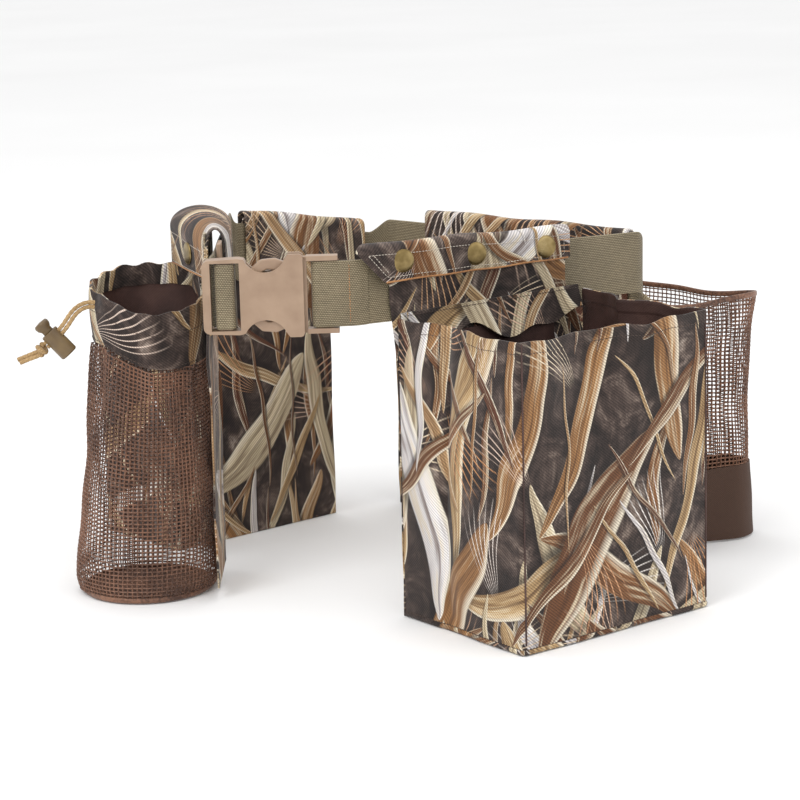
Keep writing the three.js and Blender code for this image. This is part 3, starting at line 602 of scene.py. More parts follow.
def thread_material(name, dark, light, roughness, twist):
    """Yarn: two close tones that wind along it, matt with soft highlights. twist is the winding's pitch."""
    material, tree = new_material(name)
    place = add(tree, "TexCoord").outputs["Object"]
    fibre = add(tree, "TexNoise", {"Vector": place, "Scale": 1 / twist, "Detail": 2})
    patch = add(tree, "TexNoise", {"Vector": place, "Scale": 25, "Detail": 2})
    mix = add(tree, "Math", {0: fibre, 1: patch}, operation="ADD")
    mix = add(tree, "MapRange", {"Value": mix, 1: 0.75, 2: 1.25, 3: 0.0, 4: 1.0})
    colour = add(tree, "MixRGB", {"Fac": mix, "Color1": linear(dark), "Color2": linear(light)})
    dress(tree, {"Base Color": colour, "Roughness": roughness, "Specular IOR Level": 0.4,
                 "Sheen Weight": 0.15})
    return material


KNIT_PITCH = 0.0016              # metres between the holes of the close-knit cloth


def close_knit():
    """The net's yarn knitted close: dark brown cloth with rows of fine holes."""
    material, tree = new_material("close-knit polyester")
    cloth = add(tree, "UVMap", uv_map="cloth").outputs["UV"]
    beat = TAU / KNIT_PITCH
    rows = add(tree, "VectorMath", {0: cloth, 1: (beat, 0, 0)}, operation="DOT_PRODUCT").outputs["Value"]
    lines = add(tree, "VectorMath", {0: cloth, 1: (0, beat, 0)}, operation="DOT_PRODUCT").outputs["Value"]
    rows = add(tree, "Math", {0: rows}, operation="SINE")
    lines = add(tree, "Math", {0: lines}, operation="SINE")
    holes = add(tree, "Math", {0: rows, 1: lines}, operation="MULTIPLY")
    # The holes are drawn only as darker spots in the colour: painted shade in the openings.
    colour = add(tree, "ValToRGB", {"Fac": holes},
                 stops=((0.0, "#4E382C"), (0.5, "#402D23"), (1.0, "#261913")))
    bump = add(tree, "Bump", {"Height": holes, "Strength": 0.4, "Distance": 0.0003})
    dress(tree, {"Base Color": colour, "Roughness": 0.7, "Specular IOR Level": 0.3, "Normal": bump})
    return material


def moulded_plastic(name, dark, light, roughness):
    """Moulded acetal or nylon: an even colour with a faint cloud, a fine spark-eroded grain, satin gloss."""
    material, tree = new_material(name)
    place = add(tree, "TexCoord").outputs["Object"]
    cloud = add(tree, "TexNoise", {"Vector": place, "Scale": 60, "Detail": 3})
    colour = add(tree, "ValToRGB", {"Fac": cloud}, stops=((0.3, dark), (0.7, light)))
    grain = add(tree, "TexNoise", {"Vector": place, "Scale": 2500, "Detail": 1})
    rough = add(tree, "MapRange", {"Value": cloud, 1: 0.3, 2: 0.7, 3: roughness - 0.05, 4: roughness + 0.06})
    bump = add(tree, "Bump", {"Height": grain, "Strength": 0.12, "Distance": 0.0001})
    dress(tree, {"Base Color": colour, "Roughness": rough, "IOR": 1.48, "Specular IOR Level": 0.45,
                 "Normal": bump})
    return material


def antique_brass():
    """Brass, browned and rubbed back: warm metal, darker and duller in patches, with fine scratches."""
    material, tree = new_material("antique brass")
    place = add(tree, "TexCoord").outputs["Object"]
    patch = add(tree, "TexNoise", {"Vector": place, "Scale": 110, "Detail": 3, "Roughness": 0.5})
    colour = add(tree, "ValToRGB", {"Fac": patch},
                 stops=((0.32, "#7C6A45"), (0.5, "#948056"), (0.7, "#A6936A")))
    rough = add(tree, "MapRange", {"Value": patch, 1: 0.3, 2: 0.7, 3: 0.38, 4: 0.26})
    scratch = add(tree, "TexNoise", {"Vector": place, "Scale": 1800, "Detail": 2})
    bump = add(tree, "Bump", {"Height": scratch, "Strength": 0.08, "Distance": 0.0001})
    dress(tree, {"Base Color": colour, "Metallic": 1.0, "Roughness": rough, "Normal": bump})
    return material


def pale_floor():
    """A plain matt studio floor."""
    material, tree = new_material("matt studio floor")
    place = add(tree, "TexCoord").outputs["Object"]
    cloud = add(tree, "TexNoise", {"Vector": place, "Scale": 1.5, "Detail": 2})
    colour = add(tree, "ValToRGB", {"Fac": cloud}, stops=((0.2, "#F3F3F3"), (0.8, "#F8F8F8")))
    dress(tree, {"Base Color": colour, "Roughness": 0.9})
    return material


FINISH = {}


def make_finishes(look):
    """Fills the table of materials, with sewing threads that the record has no slot for."""
    FINISH["camo"] = camo_cloth(look)
    FINISH["lining"] = coated_lining(look)
    FINISH["webbing"] = khaki_webbing(look)
    FINISH["net"] = thread_material("knitted polyester net", "#452C20", "#87604A", 0.5, 0.002)
    FINISH["close knit"] = close_knit()
    FINISH["cord"] = thread_material("braided nylon cord", "#7A5E38", "#B8986A", 0.7, 0.0011)
    FINISH["pale thread"] = thread_material("pale sewing thread", "#8C8074", "#D8CEBF", 0.7, 0.001)
    FINISH["tan thread"] = thread_material("tan sewing thread", "#8A5A34", "#C08A58", 0.7, 0.001)
    FINISH["dark thread"] = thread_material("dark sewing thread", "#2B1E18", "#59463B", 0.75, 0.001)
    FINISH["buckle"] = moulded_plastic("moulded tan acetal", "#8F7661", "#A08771", 0.4)
    FINISH["toggle"] = moulded_plastic("moulded brown nylon", "#57452F", "#75603F", 0.38)
    FINISH["brass"] = antique_brass()


def settle(piece, body, slot, *nodes):
    """Puts a finished piece on its body and hides the frame nodes that it stands for. The slot is not used."""
    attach(piece, body)
    if nodes:
        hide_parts(*nodes)
    return piece


# ---------------------------------------------------------------- drawstring
STRAND_DIAMETER = 0.0034
STRAND_PITCH = 0.0037
# The middle line between the two strands, from the collar's eyelet to the knot, in the row frame's metres.
CORD_ROUTE = np.array([
    [-0.24733, -0.08736, 0.2404], [-0.25033, -0.08816, 0.2408], [-0.25333, -0.08886, 0.2406],
    [-0.25633, -0.08956, 0.2398], [-0.25913, -0.09016, 0.2384], [-0.26173, -0.09066, 0.2365],
    [-0.26413, -0.09106, 0.2341], [-0.26623, -0.09136, 0.2314], [-0.26823, -0.09166, 0.2285],
    [-0.27033, -0.09186, 0.2256], [-0.27263, -0.09196, 0.2228], [-0.27523, -0.09196, 0.2199],
    [-0.27803, -0.09196, 0.2172], [-0.28083, -0.09196, 0.2147], [-0.28363, -0.09196, 0.2122],
    [-0.28643, -0.09196, 0.2097],
])


def strand_route(side):
    """One strand's own line: the middle line moved half the pitch across itself, upward or downward."""
    forward = unit(np.gradient(CORD_ROUTE, axis=0))
    across = np.cross([0, 1, 0], forward)
    return smooth_path(CORD_ROUTE - across * side * STRAND_PITCH / 2, 0.0004)


def braided(route, radius, plaits=8, lay=0.0042):
    """A round braid: the radius rises where a plait crosses over, in a diamond pattern of two windings."""
    steps = len(route)
    sides = 24
    along = np.linspace(0, np.linalg.norm(np.diff(route, axis=0), axis=1).sum(), steps)[:, None]
    turn = np.arange(sides) * TAU / sides
    one = np.cos(plaits / 2 * turn + TAU * along / lay)
    two = np.cos(plaits / 2 * turn - TAU * along / lay)
    relief = 0.93 + 0.09 * np.maximum(one, two)
    normals = np.broadcast_to([0.0, 1.0, 0.0], (1, steps, 3))
    return tubes(route[None], normals, radius, sides, relief=relief)


def build_drawstring():
    """Both strands, the knot that gathers them and the cord lock."""
    knot = build_knot()
    lock = build_cord_lock()
    for label, side in (("lower", 1), ("upper", -1)):
        route = strand_route(side)
        vertices, faces = braided(route, STRAND_DIAMETER / 2)
        piece = make_mesh(f"drawstring_{label}", vertices, faces, [FINISH["cord"]])
        settle(piece, "bottle_pouch", "cord", f"drawstring_{label}_strand")


def build_knot():
    """An overhand knot: a braid wound once and a half round both strands, with two short ends laid flat."""
    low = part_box("drawstring_knot")[0]
    end = CORD_ROUTE[-1]
    forward = unit(CORD_ROUTE[-1] - CORD_ROUTE[-4])
    side = np.array([0.0, 1.0, 0.0])
    up = np.cross(side, forward)
    turn = np.linspace(0, 1.6 * TAU, 90)[:, None]
    # Each loop of the knot is a helix round the strands, fatter at its middle.
    swell = 0.0029 + 0.0007 * np.sin(turn / 1.6 / 2)
    advance = forward * (0.0018 + 0.0062 * turn / turn[-1])
    winding = end + advance + swell * (np.cos(turn) * up + np.sin(turn) * side)
    parts = [braided(winding, 0.00195)]
    tail_end = np.array([low[0] + 0.0024, end[1], low[2] + 0.0045])
    for lift, spread in ((0.0014, 0.0009), (-0.0014, -0.0009)):
        start = end + forward * 0.003
        middle = end + forward * 0.0095
        route = np.array([start, middle, middle * 0.5 + tail_end * 0.5, tail_end])
        route[1:] += up * lift + side * spread
        parts.append(braided(smooth_path(route, 0.0004), 0.0018))
    vertices, faces = join(parts)
    piece = make_mesh("knot_of_drawstring", vertices, faces, [FINISH["cord"]])
    return settle(piece, "bottle_pouch", "cord", "drawstring_knot")


def build_cord_lock():
    """The lock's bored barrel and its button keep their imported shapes, with rounded edges."""
    barrel = rounded_copy("cord_lock_barrel", "lock_barrel", 0.0007, FINISH["toggle"])
    settle(barrel, "cord_lock", "cord_lock_plastic", "cord_lock_barrel")
    button = rounded_copy("cord_lock_button", "lock_button", 0.0006, FINISH["toggle"])
    settle(button, "cord_lock_button_body", "cord_lock_plastic", "cord_lock_button")
    return barrel, button


def rounded_copy(node, name, radius, material, angle=35):
    """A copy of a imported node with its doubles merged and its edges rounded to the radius."""
    mesh = frame["nodes"][node].data.copy()
    mesh.name = name
    work = bmesh.new()
    work.from_mesh(mesh)
    bmesh.ops.remove_doubles(work, verts=work.verts, dist=1e-6)
    bmesh.ops.dissolve_limit(work, angle_limit=math.radians(1), verts=work.verts, edges=work.edges)
    work.to_mesh(mesh)
    work.free()
    mesh.polygons.foreach_set("use_smooth", np.ones(len(mesh.polygons), bool))
    mesh.materials.clear()
    mesh.materials.append(material)
    piece = bpy.data.objects.new(name, mesh)
    bpy.context.scene.collection.objects.link(piece)
    bevel = piece.modifiers.new("rounded edges", "BEVEL")
    bevel.width = radius
    bevel.segments = 3
    bevel.limit_method = "ANGLE"
    bevel.angle_limit = math.radians(angle)
    bevel.harden_normals = False
    mesh.set_sharp_from_angle(angle=math.radians(60))
    return piece


# ---------------------------------------------------------------- webbing
WEB_THICKNESS = 2.2
END_THICKNESS = 1.85             # the webbing at the buckle, pulled tight
RIB_SAMPLES = 4


def belt_ribbon(name, body, path, thickness, nodes, width=WEB_WIDTH, start=0.0):
    """Webbing along a path of middle points in millimetres of the row frame: a sheet whose faces rise in ribs
    along it, drawn in at its two woven edges, with a slight waviness along its length."""
    look = bpy.context.scene.pouch_belt
    path = evenly(np.asarray(path, float), 2.5)
    pitch = look.rib_pitch / MM
    count = int(width / pitch) * RIB_SAMPLES + 1
    across = np.linspace(-width / 2, width / 2, count)
    length = np.linspace(0, np.linalg.norm(np.diff(path, axis=0), axis=1).sum(), len(path))
    points = path[:, None] + across[None, :, None] * np.array([0, 0, 1.0])
    forward = unit(np.gradient(path, axis=0))
    normal = np.stack([forward[:, 1], -forward[:, 0], 0 * forward[:, 0]], -1)
    sway = waves(length[:, None] + start, across[None, :], 5, 60, 0.22)
    points = points + normal[:, None] * sway[..., None]
    rib = np.abs(np.sin(np.pi * across / pitch))
    edge = ease(width / 2 - np.abs(across), 0, 1.2)
    depth = thickness * (0.78 + 0.22 * rib) * (0.55 + 0.45 * edge)
    uv = np.stack(np.broadcast_arrays((length[:, None] + start) * MM, across[None, :] * MM), -1)
    depths = np.broadcast_to(depth * MM, points.shape[:2])
    piece = shell(name, points * MM, depths, [FINISH["webbing"]], uv, sharp=60)
    return settle(piece, body, "webbing", *nodes)


def row_mm(pouch, x):
    """The belt's middle line at x along a pouch, in millimetres of the row frame."""
    return pouch.place(pouch.on_belt(x)) / MM


def belt_turn(one, other, radius, steps):
    """An arc tangent to two pouches' belt lines, with its height eased from one to the other, and the places
    along each line where it begins and ends."""
    p, q = row_mm(one, 0), row_mm(other, 0)
    a, b = one.along, other.along
    cross = a[0] * b[1] - a[1] * b[0]
    gap = q - p
    meet_one = (gap[0] * b[1] - gap[1] * b[0]) / cross
    meet_other = (gap[0] * a[1] - gap[1] * a[0]) / cross
    sweep = math.acos(np.clip(a @ b, -1, 1))
    tangent = radius * math.tan(sweep / 2)
    start, end = row_mm(one, meet_one - tangent), row_mm(other, meet_other + tangent)
    centre = start + one.inward * radius
    turn = np.linspace(0, sweep, steps)
    spoke = -one.inward * radius
    side = one.along * radius
    points = centre + np.cos(turn)[:, None] * spoke + np.sin(turn)[:, None] * side
    points[:, 2] = start[2] + (end[2] - start[2]) * ease(turn / sweep, 0, 1)
    return points, meet_one - tangent, meet_other + tangent


FRONT_END = -119.0               # where the front run bends toward the buckle
LEFT_END = 82.0                  # where the left run gives way to the lead into the buckle
JOINT_GAP = 0.15


def build_belt():
    """The waist webbing: runs behind the pouches, turns between them, and the sewn and adjustable ends."""
    right, right_from, right_to = belt_turn(FRONT, BAG, 14, 24)
    rear, _, rear_to = belt_turn(BAG, REAR, 14, 24)
    left, left_from, _ = belt_turn(REAR, BOTTLE, 14, 20)
    front = [row_mm(FRONT, FRONT_END), row_mm(FRONT, right_from)]
    rear_right = np.vstack([row_mm(BAG, right_to), rear])
    rear_left = [row_mm(REAR, rear_to), row_mm(REAR, left_from)]
    left = np.vstack([left, row_mm(BOTTLE, LEFT_END)])
    # Each run's piece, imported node, path, and distance along the whole belt where its weave starts.
    runs = (("webbing_front", "belt_front_run", front, 0.0),
            ("webbing_right_turn", "belt_right_turn", right, 280),
            ("webbing_rear_right", "belt_rear_right_run", rear_right, 310),
            ("webbing_rear_left", "belt_rear_left_run", rear_left, 590),
            ("webbing_left", "belt_left_run", left, 740))
    for name, node, path, start in runs:
        belt_ribbon(name, "belt", path, WEB_THICKNESS, [node], start=start)
    build_sewn_end()
    build_adjustable_end()


def build_sewn_end():
    """The webbing leaves the front run in a soft bend, wraps the plug's bar and is sewn back on itself."""
    low, high = (np.array(corner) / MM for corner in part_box("belt_plug_loop"))
    plug_low, plug_high = (np.array(corner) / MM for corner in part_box("buckle_plug"))
    middle_y = (plug_low[1] + plug_high[1]) / 2
    middle_z = (plug_low[2] + plug_high[2]) / 2
    start = row_mm(FRONT, FRONT_END - 2 * JOINT_GAP)
    bend = 20.0
    sweep = math.acos(FRONT.along[0])
    turn = np.linspace(0, sweep, 7)[:, None]
    centre = start + FRONT.inward * bend
    arc = centre - bend * (np.cos(turn) * FRONT.inward + np.sin(turn) * FRONT.along)
    front_y = arc[-1, 1]
    wrap = middle_y - front_y
    bar_x = low[0] + abs(wrap) + 0.9
    round_bar = np.linspace(0, math.pi, 9)[1:, None]
    loop = np.hstack([bar_x - abs(wrap) * np.sin(round_bar), middle_y - wrap * np.cos(round_bar),
                      0 * round_bar])
    tail = [[bar_x + 14, middle_y + wrap, 0], [bar_x + 19.5, middle_y + 0.4, 0],
            [bar_x + 23, front_y + 2.15, 0], [high[0] - 9, front_y + 2.15, 0]]
    path = np.vstack([arc, [[bar_x, front_y, 0]], loop, tail])
    share = np.clip((path[:, 0] - plug_high[0]) / (start[0] - plug_high[0]), 0, 1)
    path[:, 2] = middle_z + (start[2] - middle_z) * share
    path = evenly(path, 1.0)
    belt_ribbon("webbing_sewn_end", "belt", path, END_THICKNESS, ["belt_plug_loop"], start=-80)
    # A zigzag row of thread across the doubled webbing holds the sewn end.
    row_x = high[0] - 14.5
    heights = np.linspace(-22, 22, 23)
    x = row_x + 0.8 * (np.arange(len(heights)) % 2)
    level = np.interp(row_x, path[:12, 0][::-1], path[:12, 2][::-1])
    row = np.stack([x, np.full(len(x), front_y - 1.15), level + heights], -1)
    stitch_line("stitching_sewn_end", row * MM, 0.0019, "belt", "webbing", FINISH["tan thread"])


def build_adjustable_end():
    """The adjustable end wraps the bar in the buckle body, and a lead runs on to the waist's left side."""
    low, high = (np.array(corner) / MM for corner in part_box("belt_adjuster_wrap"))
    body_low, body_high = (np.array(corner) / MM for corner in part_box("buckle_body"))
    y = (body_low[1] + body_high[1]) / 2
    z = (low[2] + high[2]) / 2
    left, right = low[0] + 7.5, high[0] - 2.8
    behind = y + 9.5
    wrap = [[left - 7, behind, z], [left - 2.6, behind - 3, z], [left - 1.9, y, z], [left - 1.6, y - 3.4, z],
            [left, y - 4.9, z], [right, y - 4.9, z], [right + 1.6, y - 3.4, z], [right + 1.9, y, z],
            [right + 1.9, behind, z], [right + 0.6, behind + 4.2, z], [right - 4, behind + 5.4, z],
            [left - 4, behind + 5.4, z]]
    belt_ribbon("webbing_adjuster", "buckle_half", smooth_path(wrap, 1.0), END_THICKNESS,
                ["belt_adjuster_wrap"], WEB_WIDTH - 1, start=900)
    end = row_mm(BOTTLE, LEFT_END + JOINT_GAP)
    corner = 6.0
    turn = np.linspace(math.pi, math.pi * 1.3, 6)[:, None]
    centre = np.array([end[0] - 1.5 + corner, behind + 0.4 + corner, z])
    arc = centre + corner * np.hstack([np.cos(turn), np.sin(turn), 0 * turn])
    lead = np.vstack([end, [end[0] - 1.5, behind + corner * 2 + 6.4, z + 1], arc])
    belt_ribbon("webbing_lead", "belt", smooth_path(lead, 1.0), WEB_THICKNESS, ["belt_buckle_lead"],
                start=840)


# ---------------------------------------------------------------- stitching
def stitch_line(name, points, length, body, slot, material, radius=0.00032, gap=0.0007):
    """Thread stitches along a line: each is a short six-sided spindle whose ends dip into the cloth."""
    line = evenly(np.asarray(points, float), length + gap)
    starts, ends = line[:-1], line[1:]
    forward = unit(ends - starts)
    gap_share = gap / (length + gap)
    a = starts + (ends - starts) * gap_share / 2
    b = ends - (ends - starts) * gap_share / 2
    steps = np.array([0.0, 0.18, 0.5, 0.82, 1.0])
    swell = np.array([0.35, 0.9, 1.0, 0.9, 0.35]) * radius
    paths = a[:, None] + (b - a)[:, None] * steps[None, :, None]
    seed = np.where(np.abs(forward[:, 2:]) > 0.9, [[1.0, 0, 0]], [[0, 0, 1.0]])
    normals = np.broadcast_to(seed[:, None], paths.shape)
    vertices, faces = tubes(paths, normals, np.broadcast_to(swell, paths.shape[:2]), 6)
    piece = make_mesh(name, vertices, faces, [material], sharp=80)
    return settle(piece, body, slot)


# ---------------------------------------------------------------- buckle and keeper
def build_buckle():
    """The side-release buckle's mouldings and the keeper, with the rounded edges of moulded plastic."""
    for node, name, body, radius in (
            ("buckle_body", "buckle_shell", "buckle_half", 0.0016),
            ("buckle_plug", "buckle_tongue", "belt", 0.0007),
            ("buckle_prong_upper", "buckle_prong_top", "upper_prong", 0.0012),
            ("buckle_prong_lower", "buckle_prong_bottom", "lower_prong", 0.0012),
            ("webbing_keeper", "keeper_frame", "keeper", 0.0008)):
        piece = rounded_copy(node, name, radius, FINISH["buckle"])
        settle(piece, body, "buckle_plastic", node)


# ---------------------------------------------------------------- loops, flaps and snaps
SLEEVE = 1.5                     # cloth thickness of the belt loops


def loop_section(pouch):
    """The loop's middle line in (y, z): sewn to the panel behind the belt, up its back, and over its top edge
    in a round fold, as far as the flap."""
    foot = pouch.belt_top - 57
    inner = pouch.local_box(f"{pouch.name}_belt_loop")[1, 1] - SLEEVE / 2
    radius = (inner - pouch.front_y) / 2
    turn = np.linspace(0, math.pi, 25)[:, None]
    over = np.hstack([(inner + pouch.front_y) / 2 + radius * np.cos(turn), pouch.top + radius * np.sin(turn)])
    sewn = 0.9 + 0.3 + SLEEVE / 2
    step = smooth_path([[sewn + 0.1, foot - 3], [inner, foot + 3]], 1)
    return np.vstack([[[sewn, foot - 14], [sewn, foot - 5]], step, [[inner, pouch.top - 2]], over])


BOTTLE_SWING = 0.42              # the bottle pouch's flap opens wider at its far end, by this slope


def build_loop(pouch, drops, print_at, swing=0.0, settle_by=(0.0, 0.0), edge=(0.0, 0.0)):
    """A belt loop and its flap as one strip of cloth, bent where the flap hinges. drops are the flap's
    lengths at its two ends. swing slopes the flap's distance from the belt along it, settle_by lowers the fold
    at its ends, and edge slants the first end: how far it stands out at the fold and draws in at the foot."""
    section = loop_section(pouch)
    fold = evenly(section, 1.6)
    x = np.linspace(pouch.x0 + 0.3, pouch.x1 - 0.3, 90)
    share = (x - x[0]) / (x[-1] - x[0])
    drop = drops[0] + (drops[1] - drops[0]) * share + waves(x, 0, 8, 70, 0.4)
    t = np.linspace(0, 1, 16)[1:]
    flap_z = pouch.top - drop[:, None] * t
    rows = len(x)
    y = np.hstack([np.tile(fold[:, 0], (rows, 1)), np.full((rows, len(t)), pouch.front_y)])
    z = np.hstack([np.tile(fold[:, 1], (rows, 1)), flap_z])
    inner = pouch.local_box(f"{pouch.name}_belt_loop")[1, 1] - SLEEVE / 2
    forward = np.clip((inner - y) / (inner - pouch.front_y), 0, 1)
    forward[:, :int(np.argmax(fold[:, 1] > pouch.top - 2))] = 0
    length = np.concatenate([[0], np.cumsum(np.hypot(*np.diff(np.stack([y[0], z[0]]), axis=1)))])
    down_flap = np.concatenate([np.zeros(len(fold)), t])
    slant = -edge[0] * forward + (edge[0] + edge[1]) * down_flap
    slant = slant + edge[0] * 1.5 * (1 - forward) * (1 - ease(z, pouch.belt_top - 52, pouch.belt_top - 5))
    grid_x = x[:, None] + slant * (1 - share[:, None]) ** 2
    crown = ease(z, pouch.top - 30, pouch.top + 3)
    y = y + waves(grid_x, length[None], 3, 55, 0.18) + swing * (grid_x - pouch.shift) * forward
    z = z + pouch.slope * (grid_x - pouch.shift) + crown * waves(grid_x, 0, 4, 80, 0.7)
    lower = settle_by[0] + (settle_by[1] - settle_by[0]) * share[:, None]
    z = z - ease(z, pouch.top - 45, pouch.top - 12) * lower
    points = np.stack([grid_x + 0 * y, y, z], -1)
    # Hems: the cloth is folded double along the free edges, and pinched thin at the very edge.
    from_side = np.minimum(x - x[0], x[-1] - x)[:, None]
    from_foot = (length[-1] - length)[None, :] + 0 * from_side
    near = np.minimum(from_side, from_foot)
    thickness = SLEEVE * (0.55 + 0.45 * ease(near, 0, 1.6)) * (1 + 0.12 * (1 - ease(near, 4, 6)))
    uv = np.stack(np.broadcast_arrays(grid_x * MM + print_at[0], length[None] * MM + print_at[1]), -1)
    name = f"{pouch.name}_sleeve"
    piece = shell(name, points, thickness, [FINISH["camo"]], uv, place=pouch.place)
    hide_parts(f"{pouch.name}_belt_loop", f"{pouch.name}_flap")
    middle = (inner + pouch.front_y) / 2
    start = pouch.place(np.array([pouch.shift, middle + 1.5, pouch.top]))
    end = pouch.place(np.array([pouch.shift, pouch.front_y + 0.8, pouch.top]))
    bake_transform(piece)
    # A row of pale stitches runs round the flap's hem, and a tan lip shows under its lower edge.
    outer = pouch.place(points - surface_normals(points) * (thickness[..., None] * 0.5 + 0.1))
    first, last = len(fold) + 1, points.shape[1] - 1
    for inset, label in ((3, "outer"), (5, "inner")):
        foot = last - max(1, int(round(inset * 15 / drop.mean())))
        line = outer[inset, first:foot]
        if label == "outer":
            line = np.vstack([line, outer[inset:-inset, foot], outer[-inset - 1, first:foot][::-1],
                              outer[inset:-inset, first][::-1]])
        stitch_line(f"{pouch.name}_flap_stitching_{label}", line, 0.0023, f"{pouch.name}_flap_body",
                    "camo_fabric", FINISH["pale thread"], radius=0.0003)
    lip = pouch.place(points[1:-1, last] - [0, 0, 0.2])[None]
    vertices, faces = tubes(lip, np.broadcast_to(-pouch.inward, lip.shape), 0.0009, 8)
    piece = make_mesh(f"{pouch.name}_flap_lip", vertices, faces, [FINISH["tan thread"]], sharp=80)
    settle(piece, f"{pouch.name}_flap_body", "camo_fabric")


CAP_OVERHANG = 0.8               # a cap's rolled rim reaches this far past its packed disc
FRONT_CAP_TILT = 0.2             # slope by which the front pouch's caps turn along the belt


def snap_numbers(pouch):
    """The endings of a pouch's snap node names."""
    return sorted(n.split("_snap_cap")[1] for n in frame["nodes"] if n.startswith(f"{pouch.name}_snap_cap"))


def build_snaps():
    """Brass snaps: a cap with a low dome, a rolled rim and a shallow ring, and the socket behind the flap."""
    for pouch in POUCHES:
        tilt = {"front_pouch": FRONT_CAP_TILT, "bottle_pouch": -BOTTLE_SWING}.get(pouch.name, 0.0)
        for ending in snap_numbers(pouch):
            cap = pouch.local_box(f"{pouch.name}_snap_cap{ending}")
            stud = pouch.local_box(f"{pouch.name}_snap_stud{ending}")
            middle = (cap[0] + cap[1]) / 2
            radius = (cap[1, 0] - cap[0, 0]) / 2 + CAP_OVERHANG
            base = pouch.place(np.array([middle[0], cap[1, 1], middle[2]]))
            dome_turn = np.linspace(0, math.pi / 2, 14)
            dome = [(radius * 0.93 * math.cos(a), 1.15 + 0.75 * math.sin(a)) for a in dome_turn]
            rim_turn = np.linspace(-math.pi / 2, math.pi / 2 * 0.9, 9)
            rim = [(radius - 0.62 + 0.62 * math.cos(a), 0.62 + 0.62 * math.sin(a)) for a in rim_turn]
            profile = np.array([(0, 0), *rim, *dome[:-1], (0, 1.9)]) * MM
            vertices, faces = lathe(profile, 56, base, unit(-pouch.inward - pouch.along * tilt))
            piece = make_mesh(f"{pouch.name}_cap{ending}", vertices, faces, [FINISH["brass"]], sharp=50)
            settle(piece, f"{pouch.name}_flap_body", "antique_brass", f"{pouch.name}_snap_cap{ending}")
            foot = pouch.place(np.array([middle[0], stud[1, 1], (stud[0, 2] + stud[1, 2]) / 2]))
            profile = np.array([(0, 0), (4.6, 0), (5, 0.2), (4.8, 0.5), (3, 0.6), (2.4, 0.9), (2.7, 1.4),
                                (2.2, 1.78), (0, 1.8)]) * MM
            vertices, faces = lathe(profile, 40, foot, -pouch.inward)
            piece = make_mesh(f"{pouch.name}_socket{ending}", vertices, faces, [FINISH["brass"]], sharp=50)
            settle(piece, pouch.name, "antique_brass", f"{pouch.name}_snap_stud{ending}")


def build_back_panel(pouch, print_at, shoulder, seed, half=None, neck_in=2):
    """The cloth panel behind a pouch. Its two sides go straight up to the shoulder, then draw to the loop's
    width, and run up between the belt and the flap."""
    low = pouch.local_box(f"{pouch.name}_back_panel")[0]
    base_half = half or pouch.local_box(f"{pouch.name}_base")[1, 0]
    neck = pouch.belt_top - 34
    top = pouch.top - 1
    levels = np.concatenate([np.linspace(low[2], shoulder, 60), np.linspace(shoulder, neck, 14)[1:],
                             np.linspace(neck, top, 16)[1:]])
    left = np.interp(levels, [shoulder, neck], [-base_half, pouch.x0 + neck_in])
    right = np.interp(levels, [shoulder, neck], [base_half, pouch.x1 - 2])
    share = np.linspace(0, 1, 80)[:, None]
    x = left + (right - left) * share
    lean = ease(levels, shoulder, neck)
    z = levels + lean * pouch.slope * (x - pouch.shift)
    free = 1 - ease(levels, shoulder - 30, shoulder + 10)
    y = waves(x, levels + 0 * x, seed, 90, 1.0) * free * ease(levels, low[2] + 2, low[2] + 30)
    edge = np.minimum(share, 1 - share) * (right - left)
    thickness = 1.53 * (0.5 + 0.5 * ease(edge, 0, 2.0)) * (1 + 0.25 * (1 - ease(edge, 7, 8)))
    points = np.stack([x, y + 0 * x, z], -1)
    uv = np.stack([x * MM + print_at[0], z * MM + print_at[1]], -1)
    piece = shell(f"{pouch.name}_back", points, thickness, [FINISH["camo"]], uv, place=pouch.place)
    return settle(piece, pouch.name, "camo_fabric", f"{pouch.name}_back_panel")


def perimeter(half, depth, corner, back, spacing):
    """Plan of a box pouch's three walls: from the back-left edge out, round the front and back in, with
    rounded corners. Returns the points and the distance along them."""
    turn = np.linspace(0, math.pi / 2, 7)
    left = np.stack([-half + corner - corner * np.cos(turn), -depth + corner - corner * np.sin(turn)], -1)
    right = np.stack([-left[::-1, 0], left[::-1, 1]], -1)
    line = np.vstack([[-half, back], left, right, [half, back]])
    fine = []
    for a, b in zip(line[:-1], line[1:]):
        steps = max(1, int(np.linalg.norm(b - a) / spacing))
        fine.append(a + (b - a) * np.linspace(0, 1, steps, endpoint=False)[:, None])
    fine = np.vstack(fine + [line[-1:]])
    run = np.concatenate([[0], np.cumsum(np.linalg.norm(np.diff(fine, axis=0), axis=1))])
    return fine, run


